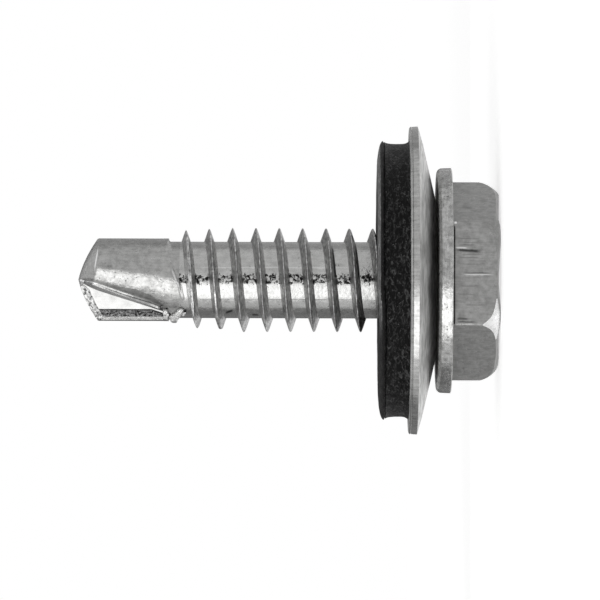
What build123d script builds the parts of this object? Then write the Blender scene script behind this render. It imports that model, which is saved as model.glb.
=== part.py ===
"""Hex washer head self drilling screw with a captive bonded sealing washer.

The screw stands on its head: +Z runs up its axis to the drill point, and the origin is the
centre of the head's top face. The cutting lips lie along X. Sizes are in millimetres and degrees.
"""

import os
from math import ceil, cos, radians, sin, sqrt, tan

from build123d import *

os.makedirs("parts", exist_ok=True)

# ---- Head: a hexagon for an 8 mm nut driver, forged in one with its flange ----
across_flats = 7.9
hex_height = 2.11
hex_turn = 4.0  # the hexagon and the drill point are formed apart, so they don't line up
hex_edge_radius = 0.12
top_face_diameter = 7.6  # what stays flat inside the rounded corners
corner_rounding_height = 0.93
corner_rounding_bulge = 0.12  # how far its middle stands out from a straight chamfer
flange_diameter = 10.24
flange_thickness = 0.73
flange_under_radius = 0.32
flange_edge_break = 0.06

# ---- Shank, measured from under the flange ----
length = 16.26
neck_diameter = 4.0  # the plain blank that the thread was rolled on
neck_length = 2.3
neck_root_break = 0.2  # cone where the neck meets the flange
core_diameter = 3.47
core_run_out = 0.2  # length of the cone from the neck to the core

# ---- Thread: one start, right hand ----
thread_diameter = 4.73
thread_pitch = 1.0605
flank_angle = 41.0  # between the two flanks
crest_width = 0.05
root_sink = 0.06  # how deep the ridge is rooted in the core
first_full_crest = 2.89  # from under the flange to the crest nearest the head, on the +X side
run_out = 0.53  # the crest grows to its full height over this length past the neck
first_crest_diameter = 4.42  # of the turn that enters the sheet first
lead_in = 0.8  # from the drill body to that turn
run_in = 2.1  # from that turn to the full crest

# ---- Drill point: two flutes pinched between dies ----
drill_diameter = 3.76
drill_length = 4.1
drill_step = 0.12  # length of the cone from the core to the drill body
point_angle = 129.0
web_thickness = 0.5
flute_centre_offset = 0.03  # back wall to the axis at the tip
flute_bend_offset = 0.55  # back wall to the axis where its curve ends
flute_bend_length = 1.05  # of that curve along the axis
flute_run_out_angle = 17.5
flute_draft = 9.0
flute_end = 0.22  # solid left between the flute and the step down to the core

# ---- Rough land along the cutting edges, where the forging flash was sheared off ----
land_drop = 0.14
margin_land_width = 0.32
margin_width = 0.22  # smooth strip between that land and the outside
lip_land_width = 0.24

# ---- Sealing washer, steel: a flat seat, a dished cone and a flat underside at the rim ----
washer_diameter = 14.0
sheet_thickness = 0.6
seat_diameter = 7.0
dish_angle = 13.0
rim_cone_width = 0.78
rim_cone_angle = 16.2
rim_height = 0.39
rim_radius = 0.11
steel_bore_clearance = 0.15  # radial, so that the washer passes over the thread

# ---- Sealing washer, rubber: vulcanised under the steel ----
seal_top_diameter = 12.66
seal_lip_diameter = 12.69
seal_waist = 0.13  # how far the side wall is drawn in between the two
seal_thickness = 1.51  # below the steel's rim
shoulder_drop = 0.26
shoulder_width = 1.35
seal_running_clearance = 0.08  # radial, on the neck
mouth_clearance = 0.18  # radial, round the turn of thread that dips into the seal
mouth_depth = 0.5

# ---- Radii and levels that follow from these ----
neck_radius = neck_diameter / 2
core_radius = core_diameter / 2
thread_radius = thread_diameter / 2
drill_radius = drill_diameter / 2
seat_level = hex_height + flange_thickness
neck_end_level = seat_level + neck_length
tip_level = seat_level + length
drill_level = tip_level - drill_length
shoulder_level = tip_level - drill_radius / tan(radians(point_angle / 2))


def ridge_half_width(radius):
    """Half the axial width of the thread's ridge at a radius."""
    return crest_width / 2 + (thread_radius - radius) * tan(radians(flank_angle / 2))


def thread_turn(level):
    """One turn of the ridge from a level, held inside the cones at both ends of the thread."""
    root = core_radius - root_sink
    full_level = neck_end_level + run_out
    first_crest_level = drill_level - lead_in
    outside = thread_radius + root_sink  # clear of the full crest
    with BuildPart() as turn:
        with BuildLine() as helix:
            Helix(thread_pitch, thread_pitch, core_radius, center=(0, 0, level))
        with BuildSketch(Plane.XZ):
            with BuildLine():
                Polyline(
                    (root, level - ridge_half_width(root)),
                    (thread_radius, level - crest_width / 2),
                    (thread_radius, level + crest_width / 2),
                    (root, level + ridge_half_width(root)),
                    close=True,
                )
            make_face()
        sweep(path=helix.line, is_frenet=True)
        with BuildSketch(Plane.XZ):
            with BuildLine():
                Polyline(
                    (0, neck_end_level),
                    (neck_radius - root_sink, neck_end_level),
                    (outside, full_level + root_sink),
                    (outside, first_crest_level - run_in - root_sink),
                    (first_crest_diameter / 2, first_crest_level),
                    (root, drill_level),
                    (0, drill_level),
                    close=True,
                )
            make_face()
        revolve(axis=Axis.Z, mode=Mode.INTERSECT)
    return turn.part


# ---- Thread: whole turns from inside the neck's end up to the drill body ----
first_turn_level = seat_level + first_full_crest - thread_pitch
turn_count = ceil((drill_level - first_turn_level) / thread_pitch)
thread_turns = [thread_turn(first_turn_level + turn * thread_pitch) for turn in range(turn_count)]

# ---- Screw: head, shank, thread and drill point in one piece ----
with BuildPart() as screw:
    # Hexagon, its upright edges rounded, then its top corners brought down in two cones
    with BuildSketch():
        RegularPolygon(across_flats / 2, 6, major_radius=False, rotation=hex_turn)
    extrude(amount=hex_height)
    fillet(screw.edges().filter_by(Axis.Z), hex_edge_radius)
    corner_radius = across_flats / sqrt(3)
    chord = Vector(corner_radius - top_face_diameter / 2, corner_rounding_height)
    bulge = Vector(chord.Y, -chord.X).normalized() * corner_rounding_bulge
    crown = Vector(top_face_diameter / 2, 0) + chord / 2 + bulge
    with BuildSketch(Plane.XZ):
        with BuildLine():
            Polyline(
                (0, 0),
                (top_face_diameter / 2, 0),
                crown,
                (corner_radius, corner_rounding_height),
                (corner_radius, hex_height),
                (0, hex_height),
                close=True,
            )
        make_face()
    revolve(axis=Axis.Z, mode=Mode.INTERSECT)

    # Flange: its edge towards the washer is well rounded, in two cones, the other barely broken
    flange_radius = flange_diameter / 2
    half_way = flange_under_radius * (1 - sqrt(0.5))
    with BuildSketch(Plane.XZ):
        with BuildLine():
            Polyline(
                (0, hex_height),
                (flange_radius - flange_edge_break, hex_height),
                (flange_radius, hex_height + flange_edge_break),
                (flange_radius, seat_level - flange_under_radius),
                (flange_radius - half_way, seat_level - half_way),
                (flange_radius - flange_under_radius, seat_level),
                (0, seat_level),
                close=True,
            )
        make_face()
    revolve(axis=Axis.Z)

    # Neck, core, drill body and its point
    with BuildSketch(Plane.XZ):
        with BuildLine():
            Polyline(
                (0, hex_height),
                (neck_radius + neck_root_break, hex_height),
                (neck_radius + neck_root_break, seat_level),
                (neck_radius, seat_level + neck_root_break),
                (neck_radius, neck_end_level),
                (core_radius, neck_end_level + core_run_out),
                (core_radius, drill_level - drill_step),
                (drill_radius, drill_level),
                (drill_radius, shoulder_level),
                (0, tip_level),
                close=True,
            )
        make_face()
    revolve(axis=Axis.Z)

    for turn in thread_turns:
        add(turn)

    # Two flutes: each has a flat rake face beside the web, and a drafted back wall that curves
    # in to the tip and runs out along the body
    flute_end_level = drill_level + flute_end
    bend = Vector(-flute_bend_offset, tip_level - flute_bend_length)
    slope = Vector(sin(radians(flute_run_out_angle)), cos(radians(flute_run_out_angle)))
    run_out_end = bend - slope * ((bend.Y - flute_end_level) / slope.Y)
    rake = web_thickness / 2
    margin_edge = drill_radius - margin_width
    land_edge = margin_edge - margin_land_width
    land_level = bend.Y - (land_edge - flute_bend_offset) * slope.Y / slope.X
    lip_angle = radians(point_angle / 2)
    for turn in (0, 180):
        along = Vector(cos(radians(turn)), sin(radians(turn)), 0)
        outward = Vector(sin(radians(turn)), -cos(radians(turn)), 0)
        rake_plane = Plane(origin=outward * rake, x_dir=along, z_dir=outward)
        with BuildSketch(rake_plane):
            with BuildLine():
                tip_corner = (-flute_centre_offset, tip_level)
                TangentArc(bend, tip_corner, tangent=slope)
                Polyline(
                    tip_corner,
                    (-flute_centre_offset, tip_level + drill_radius),
                    (-drill_diameter, tip_level + drill_radius),
                    (-drill_diameter, flute_end_level),
                    run_out_end,
                    bend,
                )
            make_face()
        extrude(amount=drill_radius, taper=-flute_draft, mode=Mode.SUBTRACT)

        # Land along the outside, from where the back wall leaves room for it
        with BuildSketch(Plane(origin=(0, 0, land_level), x_dir=along, z_dir=(0, 0, 1))):
            with BuildLine():
                Polyline(
                    (-land_edge, -rake),
                    (-margin_edge, land_drop - rake),
                    (-drill_diameter, land_drop - rake),
                    (-drill_diameter, -rake),
                    close=True,
                )
            make_face()
        extrude(amount=drill_length, mode=Mode.SUBTRACT)

        # Land along the cutting lip, clear of the back wall at the tip
        lip = along * -sin(lip_angle) + Vector(0, 0, -cos(lip_angle))
        inward = along * cos(lip_angle) + Vector(0, 0, -sin(lip_angle))
        lip_start = Vector(0, 0, tip_level) + lip * web_thickness
        with BuildSketch(Plane(origin=lip_start, x_dir=inward, z_dir=lip)):
            with BuildLine():
                Polyline(
                    (lip_land_width, rake),
                    (0, rake - land_drop),
                    (-lip_land_width, rake - land_drop),
                    (-lip_land_width, rake),
                    close=True,
                )
            make_face()
        extrude(amount=drill_radius, mode=Mode.SUBTRACT)

screw.part.label = "screw"
export_step(screw.part, "parts/screw.step")

# ---- Steel washer: flat seat under the flange, dished cone, flat underside at the rim ----
seat_radius = seat_diameter / 2
washer_radius = washer_diameter / 2
steel_bore_radius = thread_radius + steel_bore_clearance
dish = tan(radians(dish_angle))
slanted_thickness = sheet_thickness / cos(radians(dish_angle))
rim_cone_radius = washer_radius - rim_cone_width
rim_cone_level = seat_level + (rim_cone_radius - seat_radius) * dish
rim_top_level = rim_cone_level + rim_cone_width * tan(radians(rim_cone_angle))
rim_level = rim_top_level + rim_height
underside_radius = seat_radius + (rim_level - seat_level - slanted_thickness) / dish
inner_radius = seat_radius - (slanted_thickness - sheet_thickness) / dish
inner_level = seat_level + sheet_thickness

with BuildPart() as steel_washer:
    with BuildSketch(Plane.XZ):
        with BuildLine():
            Polyline(
                (steel_bore_radius, seat_level),
                (seat_radius, seat_level),
                (rim_cone_radius, rim_cone_level),
                (washer_radius, rim_top_level),
                (washer_radius, rim_level - rim_radius),
                (washer_radius - rim_radius, rim_level),
                (underside_radius, rim_level),
                (inner_radius, inner_level),
                (steel_bore_radius, inner_level),
                close=True,
            )
        make_face()
    revolve(axis=Axis.Z)

steel_washer.part.label = "steel_washer"
export_step(steel_washer.part, "parts/steel_washer.step")

# ---- Rubber seal: bonded all over the steel's underside, its mouth open for the thread ----
seal_bore_radius = neck_radius + seal_running_clearance
seal_top_radius = seal_top_diameter / 2
seal_lip_radius = seal_lip_diameter / 2
face_level = rim_level + seal_thickness
lip_level = face_level - shoulder_drop
face_radius = seal_lip_radius - shoulder_width
mouth_radius = thread_radius + mouth_clearance
waist = ((seal_top_radius + seal_lip_radius) / 2 - seal_waist, (rim_level + lip_level) / 2)

with BuildPart() as rubber_seal:
    with BuildSketch(Plane.XZ):
        with BuildLine():
            Polyline(
                (face_radius, face_level),
                (mouth_radius, face_level),
                (seal_bore_radius, face_level - mouth_depth),
                (seal_bore_radius, inner_level),
                (inner_radius, inner_level),
                (underside_radius, rim_level),
                (seal_top_radius, rim_level),
            )
            Polyline((seal_top_radius, rim_level), waist, (seal_lip_radius, lip_level))
            TangentArc((face_radius, face_level), (seal_lip_radius, lip_level), tangent=(1, 0))
        make_face()
    revolve(axis=Axis.Z)

rubber_seal.part.label = "rubber_seal"
export_step(rubber_seal.part, "parts/rubber_seal.step")
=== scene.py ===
"""Finish, studio and camera for a hex washer head self drilling screw with its sealing washer.

Every size below is in millimetres and degrees. The screw stands on its head: +Z runs up its axis
to the drill point, and the cutting lips lie along X.
"""

import logging
from collections.abc import Callable, Sequence
from dataclasses import dataclass
from enum import Enum
from functools import partial
from math import acos, atan2, cos, degrees, hypot, pi, radians, sin, sqrt, tan
from typing import Any

import bmesh
import bpy
from bpy.types import Curve, Material, Mesh, Node, NodeSocket, NodeTree, Object
from mathutils import Matrix, Vector, noise

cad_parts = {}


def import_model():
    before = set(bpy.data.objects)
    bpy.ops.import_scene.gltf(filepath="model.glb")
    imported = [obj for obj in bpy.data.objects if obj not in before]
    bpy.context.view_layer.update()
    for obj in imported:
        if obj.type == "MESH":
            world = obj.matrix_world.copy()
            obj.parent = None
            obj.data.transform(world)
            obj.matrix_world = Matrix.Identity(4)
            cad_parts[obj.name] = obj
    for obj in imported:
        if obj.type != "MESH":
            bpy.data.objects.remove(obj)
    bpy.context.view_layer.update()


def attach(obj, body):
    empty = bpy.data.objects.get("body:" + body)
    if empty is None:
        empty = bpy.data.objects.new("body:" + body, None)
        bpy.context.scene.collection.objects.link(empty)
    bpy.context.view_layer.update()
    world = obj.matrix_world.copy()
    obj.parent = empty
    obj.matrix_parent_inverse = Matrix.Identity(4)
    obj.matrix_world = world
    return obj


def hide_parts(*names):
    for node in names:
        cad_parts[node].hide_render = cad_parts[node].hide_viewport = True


logging.basicConfig(level=logging.INFO, format="%(levelname)s %(message)s")
log = logging.getLogger("screw")

MM = 0.001
Ring = list[Vector]
Pair = tuple[float, float]
Table = tuple[Pair, ...]

# The kinds of node that are used most
MATH = "ShaderNodeMath"
VECTOR_MATH = "ShaderNodeVectorMath"
NOISE = "ShaderNodeTexNoise"
MAP_RANGE = "ShaderNodeMapRange"
MIX = "ShaderNodeMix"
BUMP = "ShaderNodeBump"
COMBINE = "ShaderNodeCombineXYZ"
SEPARATE = "ShaderNodeSeparateXYZ"
CURVE = "ShaderNodeFloatCurve"


class Slot(Enum):
    """The record's material slots."""

    SCREW = "screw_steel"
    WASHER = "washer_steel"
    RUBBER = "seal_rubber"


# ---- Small helpers ----


def linear(hex_colour: str) -> tuple[float, float, float, float]:
    """An sRGB hex colour as Blender's linear colour.

    Args:
        hex_colour: six hex digits.

    Returns:
        Red, green and blue in linear light, and an alpha of one.
    """
    channels = [int(hex_colour[i : i + 2], 16) / 255 for i in (0, 2, 4)]
    red, green, blue = (
        c / 12.92 if c <= 0.04045 else ((c + 0.055) / 1.055) ** 2.4 for c in channels
    )
    return red, green, blue, 1.0


def connect(tree: NodeTree, node: Node, inputs: dict[str | int, Any] | Sequence[Any]) -> None:
    """Sets and links a node's inputs.

    Args:
        tree: the node's tree.
        node: the node.
        inputs: what each input gets, in order or by name or number: a value, an output to link
            from, or a node, which stands for the first of its outputs that is in use.
    """
    pairs = inputs.items() if isinstance(inputs, dict) else enumerate(inputs)
    for key, value in pairs:
        if isinstance(value, Node):
            value = next(output for output in value.outputs if output.enabled)
        if isinstance(value, NodeSocket):
            tree.links.new(value, node.inputs[key])
        else:
            node.inputs[key].default_value = value


def add_node(
    tree: NodeTree,
    kind: str,
    inputs: dict[str | int, Any] | Sequence[Any] = (),
    **settings: Any,
) -> Node:
    """Adds a node, sets it up and links it.

    Args:
        tree: the tree that gets the node.
        kind: the node's type name.
        inputs: what its inputs get, as connect takes it.
        settings: values for the node's own properties.

    Returns:
        The new node.
    """
    node = tree.nodes.new(kind)
    for key, value in settings.items():
        setattr(node, key, value)
    connect(tree, node, inputs)
    return node


def new_material(name: str) -> tuple[Material, NodeTree, Node]:
    """A material that still has to be dressed.

    Args:
        name: the material's name.

    Returns:
        The material, its tree and its shader.
    """
    material = bpy.data.materials.new(name)
    material.use_nodes = True
    return material, material.node_tree, material.node_tree.nodes["Principled BSDF"]


def smooth_step(low: float, high: float, value: float) -> float:
    """0 below low, 1 above high and a smooth curve between."""
    t = min(1.0, max(0.0, (value - low) / (high - low)))
    return t * t * (3 - 2 * t)


def table_value(table: Sequence[Pair], at: float) -> float:
    """A value read off a table of straight steps.

    Args:
        table: pairs of place and value, in order of place.
        at: the place to read.

    Returns:
        The value there, and the end values outside the table.
    """
    if at <= table[0][0]:
        return table[0][1]
    for (low, start), (high, end) in zip(table, table[1:]):
        if at <= high:
            return start + (end - start) * (at - low) / (high - low)
    return table[-1][1]


def spread(start: float, end: float, steps: int) -> list[float]:
    """Evenly spaced values from start to just before end."""
    return [start + (end - start) * i / steps for i in range(steps)]


def polar(radius: float, angle: float, level: float = 0.0) -> Vector:
    """The point at a distance from the axis, an angle in radians and a level."""
    return Vector((radius * cos(angle), radius * sin(angle), level))


def rough(point: Vector, layers: Sequence[Pair]) -> float:
    """Unevenness at a point, as a sum of noises that are each given by fineness and height."""
    return sum(height * noise.noise(point * fineness) for fineness, height in layers)


def ring_of(radii: Sequence[float], angles: Sequence[float], levels: Sequence[float]) -> Ring:
    """A ring of points round the axis, from each one's distance, angle and level."""
    return [polar(*place) for place in zip(radii, angles, levels)]


def corner(centre: Pair, radius: float, start: float, end: float, steps: int) -> list[Pair]:
    """Points on a round corner of a profile.

    Args:
        centre: the corner's centre, as radius and level.
        radius: the corner's radius.
        start: angle of the first point, from the outward direction towards +Z.
        end: angle of the last point.
        steps: how many chords the corner has.

    Returns:
        The points, as radius and level, both ends included.
    """
    angles = [radians(start + (end - start) * i / steps) for i in range(steps + 1)]
    return [(centre[0] + radius * cos(a), centre[1] + radius * sin(a)) for a in angles]


def take_mesh(name: str, body: bmesh.types.BMesh) -> Mesh:
    """Turns a bmesh into a mesh, and frees it.

    Args:
        name: the mesh's name.
        body: the bmesh.

    Returns:
        The mesh.
    """
    mesh = bpy.data.meshes.new(name)
    body.to_mesh(mesh)
    body.free()
    return mesh


def mesh_from(name: str, points: Sequence[Vector], faces: Sequence[Sequence[int]]) -> Mesh:
    """A mesh whose faces all point outwards.

    Args:
        name: the mesh's name.
        points: its vertices.
        faces: each face's vertex numbers.

    Returns:
        The mesh, with doubles merged and normals recalculated.
    """
    mesh = bpy.data.meshes.new(name)
    mesh.from_pydata(points, [], faces)
    body = bmesh.new()
    body.from_mesh(mesh)
    bmesh.ops.remove_doubles(body, verts=body.verts, dist=1e-5)
    bmesh.ops.dissolve_degenerate(body, edges=body.edges, dist=1e-6)
    bmesh.ops.recalc_face_normals(body, faces=body.faces)
    body.to_mesh(mesh)
    body.free()
    return mesh


def in_fixed_order(mesh: Mesh) -> Mesh:
    """The same mesh with its vertices and faces sorted, as a boolean mixes them anew each run.

    Args:
        mesh: the boolean's mesh.

    Returns:
        A new mesh with the same faces.
    """
    points = [tuple(vert.co) for vert in mesh.vertices]
    order = sorted(range(len(points)), key=points.__getitem__)
    rank = {old: new for new, old in enumerate(order)}
    faces = []
    for face in mesh.polygons:
        turn = [rank[i] for i in face.vertices]
        first = turn.index(min(turn))
        faces.append(turn[first:] + turn[:first])
    tidy = bpy.data.meshes.new(mesh.name)
    tidy.from_pydata([points[i] for i in order], [], sorted(faces))
    return tidy


def loft(name: str, rings: Sequence[Ring], first: Vector, last: Vector) -> Mesh:
    """A closed mesh over rings of equal length, shut by a fan of triangles at both ends.

    Args:
        name: the mesh's name.
        rings: the rings in order.
        first: the point that the first ring closes to.
        last: the point that the last ring closes to.

    Returns:
        The closed mesh.
    """
    count = len(rings[0])
    points = [first, *(point for ring in rings for point in ring), last]
    end = len(points) - 1
    faces: list[tuple[int, ...]] = []
    for k in range(count):
        n = (k + 1) % count
        faces.append((0, 1 + n, 1 + k))
        for row in range(len(rings) - 1):
            a = 1 + row * count
            faces.append((a + k, a + n, a + count + n, a + count + k))
        a = 1 + (len(rings) - 1) * count
        faces.append((a + k, a + n, end))
    return mesh_from(name, points, faces)


def lathe(
    name: str,
    profile: Sequence[Pair],
    steps: int,
    bend: Callable[[Vector], Vector] | None = None,
) -> Mesh:
    """A closed ring turned from a closed profile about the Z axis.

    Args:
        name: the mesh's name.
        profile: the profile's points, as radius and level.
        steps: how many chords the turn has.
        bend: moves each point off the true turned shape, where there is such a function.

    Returns:
        The closed mesh.
    """
    count = len(profile)
    turns = spread(0, 2 * pi, steps)
    points = [polar(radius, angle, level) for angle in turns for radius, level in profile]
    if bend:
        points = [bend(point) for point in points]
    faces = []
    for i in range(steps):
        a, b = i * count, (i + 1) % steps * count
        for j in range(count):
            n = (j + 1) % count
            faces.append((a + j, b + j, b + n, a + n))
    return mesh_from(name, points, faces)


def divided(points: Sequence[Pair], longest: float) -> list[Pair]:
    """A closed profile with no side much longer than a given length.

    Args:
        points: the profile's corners, as radius and level.
        longest: the length that sides are divided into, more or less.

    Returns:
        The profile with points added along its long sides.
    """
    out = []
    for here, there in zip(points, [*points[1:], points[0]]):
        steps = max(1, round(hypot(there[0] - here[0], there[1] - here[1]) / longest))
        for t in spread(0, 1, steps):
            out.append((here[0] + (there[0] - here[0]) * t, here[1] + (there[1] - here[1]) * t))
    return out


def link_object(name: str, data: Any) -> Object:
    """Puts data in the scene as an object at the origin.

    Args:
        name: the object's name.
        data: its mesh, curve, light or camera.

    Returns:
        The object.
    """
    piece = bpy.data.objects.new(name, data)
    bpy.context.scene.collection.objects.link(piece)
    return piece


def dress(
    piece: Object,
    materials: dict[Enum, Material],
    finish_at: Callable[[Vector, Vector], Enum],
    crease: float,
) -> None:
    """Gives each face its material, brings the piece to metres and shades it smooth.

    Args:
        piece: the object, in millimetres.
        materials: the material of each of its finishes.
        finish_at: tells a face's finish from the face's middle and outward direction.
        crease: edges that turn by more than this angle stay sharp.
    """
    mesh, order = piece.data, list(materials)
    mesh.materials.clear()
    for material in materials.values():
        mesh.materials.append(material)
    for face in mesh.polygons:
        face.material_index = order.index(finish_at(face.center, face.normal))
    mesh.transform(Matrix.Scale(MM, 4))
    mesh.shade_smooth()
    mesh.set_sharp_from_angle(angle=radians(crease))


def hand_over(piece: Object, node: str, slot: Slot, body: str) -> None:
    """Hides the piece's CAD node and hangs the piece on the body that it moves with.

    Args:
        piece: the finished piece.
        node: the CAD node.
        slot: the record's material slot; not used.
        body: the CAD body.
    """
    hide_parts(node)
    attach(piece, body)


# ---- Finishes ----


class Grain(Enum):
    """The way that a finish's fine lines run."""

    AXIAL = "along the screw"
    TURNED = "round the axis"
    SHEARED = "through the sheet's edge"


@dataclass(frozen=True)
class StraightMark:
    """A straight mark on the side that faces -Y; some are painted highlights and painted shade.

    Attributes:
        side: where it lies along X.
        low: level of one end.
        high: level of the other end.
        drift: how far it wanders along X from end to end.
        width: its width.
        shade: how much it darkens the plate, or lightens it where negative.
    """

    side: float
    low: float
    high: float
    drift: float
    width: float
    shade: float


def straight_marks(*rows: tuple[float, ...]) -> tuple[StraightMark, ...]:
    """Straight marks from rows of side, low, high, drift, width and shade."""
    return tuple(StraightMark(*row) for row in rows)


def closeness(
    tree: NodeTree, value: Node | NodeSocket, middle: float, full: float, none: float
) -> Node:
    """How close a value is to its middle, as one near it that falls smoothly to zero.

    Args:
        tree: the material's tree.
        value: the node or output that gives the value.
        middle: the value that counts as the middle.
        full: distance from the middle where the fall starts.
        none: distance where it ends.

    Returns:
        The node that gives the share.
    """
    away = add_node(tree, MATH, (value, middle), operation="SUBTRACT")
    away = add_node(tree, MATH, (away,), operation="ABSOLUTE")
    fall = {"Value": away, "From Min": full, "From Max": none, "To Min": 1.0, "To Max": 0.0}
    return add_node(tree, MAP_RANGE, fall, interpolation_type="SMOOTHSTEP")


@dataclass(frozen=True)
class ZincPlatedSteel:
    """Zinc plate on cold-worked steel.

    The eye sees a grey metal with a soft gloss that wanders, fine lines from the tools, shallow
    dents and small dark pits. The lines and pits are drawn coarser than real ones, which are a
    few hundredths of a millimetre wide, so that they show.

    Attributes:
        name: the material's name.
        pale: colour of the clean plate.
        dull: colour where the plate is thin or stained.
        stain: size of the stains.
        polish: roughness of the plate.
        unevenness: how far the roughness wanders.
        grain: which way the fine lines run.
        grain_size: width of the fine lines.
        grain_depth: depth of the fine lines.
        dent_size: size of the shallow dents.
        dent_depth: depth of the shallow dents.
        pit_size: size of the pits.
        pit_cover: how much of the surface is pitted, from 0 to 1.
        pit_depth: depth of the pits.
        pit_colour: colour of the pits.
        scratches_and_painted_light: straight marks on the side that faces -Y; some are painted
            highlights and shade.
        streak: how far the fine lines show in the colour, from 0 to 1.
        torn_stripe: where along X a torn stripe lies on the side that faces -Y, and half its
            width. Dents are deeper there.
        pit_stripe: the same for a stripe with more pits.
    """

    name: str
    pale: str = "9E9E9D"
    dull: str = "8C8C8B"
    stain: float = 0.9
    polish: float = 0.30
    unevenness: float = 0.07
    grain: Grain = Grain.AXIAL
    grain_size: float = 0.09
    grain_depth: float = 0.002
    dent_size: float = 0.35
    dent_depth: float = 0.006
    pit_size: float = 0.16
    pit_cover: float = 0.0
    pit_depth: float = 0.012
    pit_colour: str = "4A4A4A"
    scratches_and_painted_light: tuple[StraightMark, ...] = ()
    streak: float = 0.3
    torn_stripe: Pair | None = None
    pit_stripe: Pair | None = None

    # The same on every finish. Each range is the part of a noise that a change is spread over.
    GRAIN_STRETCH = 7.0  # length of a fine line over its width
    LINES_ROUND = 9.0  # fineness of turned lines along their own run
    SHEARED_DEPTH = 0.1  # fineness of sheared lines through the sheet, over that along it
    STRIPE_CORE = 0.35  # share of a stripe that is at full strength
    WOBBLE_SIZE, WOBBLE = 0.3, 0.06  # how a scratch strays from its line
    MARK_SIDES = (0.1, 0.8)  # shares of a scratch's width where it starts to fade and ends
    MARK_ENDS = 0.5  # share of its half length that is at full strength
    SHADE_RANGE = (0.39, 0.61)
    GLOSS_RANGE = (0.3, 0.7)
    PIT_RANGE = (-0.07, 0.02)
    PIT_EDGE, PIT_SPAN = 0.28, 0.24  # where pits start in the noise, and how far cover moves it
    STRIPE_PITS = -0.21  # how far a stripe moves the noise towards pits
    TORN = 3  # how much deeper dents are in a torn stripe, in their own depths
    # Colours of the dark and light marks: scratches, and also painted shade and highlights
    DARK_MARK, LIGHT_MARK = "1C1C1C", "E8E8E8"

    def stripe_share(self, tree: NodeTree, place: NodeSocket, stripe: Pair) -> Node:
        """How far a point lies inside a stripe along the side that faces -Y, from 0 to 1.

        Args:
            tree: the material's tree.
            place: object coordinates.
            stripe: where it lies along X, and half its width.

        Returns:
            The node that gives one in the middle, falling to zero at the stripe's edges.
        """
        middle, half = stripe
        parts = add_node(tree, SEPARATE, (place,)).outputs
        full = self.STRIPE_CORE * half * MM
        share = closeness(tree, parts["X"], middle * MM, full, half * MM)
        front = add_node(tree, MATH, (parts["Y"], 0.0), operation="LESS_THAN")
        return add_node(tree, MATH, (share, front), operation="MULTIPLY")

    def grain_noise(self, tree: NodeTree, place: NodeSocket) -> Node:
        """Fine lines left by the tools, drawn a little coarser than real ones.

        Args:
            tree: the material's tree.
            place: object coordinates.

        Returns:
            The node that gives the lines' height, from 0 to 1.
        """
        add = partial(add_node, tree)
        width = self.grain_size * MM
        if self.grain is Grain.AXIAL:
            scale = (1 / width, 1 / width, 1 / (self.GRAIN_STRETCH * width))
            along = add("ShaderNodeMapping", {"Vector": place, "Scale": scale})
            return add(NOISE, {"Vector": along, "Scale": 1.0, "Detail": 4.0})
        flat = add(VECTOR_MATH, (place, (1, 1, 0)), operation="MULTIPLY")
        heading = add(VECTOR_MATH, (flat,), operation="NORMALIZE")
        radius = add(VECTOR_MATH, (flat,), operation="LENGTH")
        level = add(SEPARATE, (place,)).outputs["Z"]
        turned = self.grain is Grain.TURNED
        around = self.LINES_ROUND if turned else self.GRAIN_STRETCH * MM / width
        across = 1 / width if turned else self.SHEARED_DEPTH / width
        fine = add(VECTOR_MATH, {0: heading, "Scale": around}, operation="SCALE")
        out = add(COMBINE, {"Z": radius})
        where = (out, (0, 0, across), fine)
        out = add(VECTOR_MATH, where, operation="MULTIPLY_ADD")
        rise = add(MATH, (level, across), operation="MULTIPLY")
        lines = {"Vector": out, "W": rise, "Scale": 1.0, "Detail": 3.0}
        return add(NOISE, lines, noise_dimensions="4D")

    def straight_mark_mask(self, tree: NodeTree, place: NodeSocket, mark: StraightMark) -> Node:
        """One along the middle of a mark, fading to zero at its sides and ends.

        Args:
            tree: the material's tree.
            place: object coordinates.
            mark: the straight mark.

        Returns:
            The node that gives the mask.
        """
        add = partial(add_node, tree)
        parts = add(SEPARATE, (place,)).outputs
        middle, half = (mark.low + mark.high) / 2 * MM, (mark.high - mark.low) / 2 * MM
        lean = mark.drift / (mark.high - mark.low)
        wobble = {"Vector": place, "Scale": 1 / (self.WOBBLE_SIZE * MM)}
        wobble = add(NOISE, wobble)
        line = add(MATH, (parts["Z"], lean, parts["X"]), operation="MULTIPLY_ADD")
        line = add(MATH, (wobble, self.WOBBLE * MM, line), operation="MULTIPLY_ADD")
        centre = mark.side * MM + lean * middle + self.WOBBLE / 2 * MM
        mask = add(MATH, (parts["Y"], 0.0), operation="LESS_THAN")
        full, none = (share * mark.width * MM for share in self.MARK_SIDES)
        for value, zero, full, none in (
            (line, centre, full, none),
            (parts["Z"], middle, self.MARK_ENDS * half, half),
        ):
            share = closeness(tree, value, zero, full, none)
            mask = add(MATH, (mask, share), operation="MULTIPLY")
        return mask

    def build(self) -> Material:
        """Builds the material.

        Returns:
            The procedural material.
        """
        material, tree, shader = new_material(self.name)
        add = partial(add_node, tree)
        place = add("ShaderNodeTexCoord").outputs["Object"]
        fine = self.grain_noise(tree, place)
        dents = {"Vector": place, "Scale": 1 / (self.dent_size * MM), "Detail": 5.0}
        broad = add(NOISE, dents)
        stains = {"Vector": place, "Scale": 1 / (self.stain * MM), "Detail": 7.0}
        stain = add(NOISE, {**stains, "Roughness": 0.65})

        # Colour, from fine lines and stains
        patches = add(MATH, (stain, 1 - self.streak), operation="MULTIPLY")
        blend = add(MATH, (fine, self.streak, patches), operation="MULTIPLY_ADD")
        low, high = self.SHADE_RANGE
        shade = add(MAP_RANGE, {"Value": blend, "From Min": low, "From Max": high})
        ends = {0: shade, 6: linear(self.dull), 7: linear(self.pale)}
        colour = add(MIX, ends, data_type="RGBA")

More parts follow.
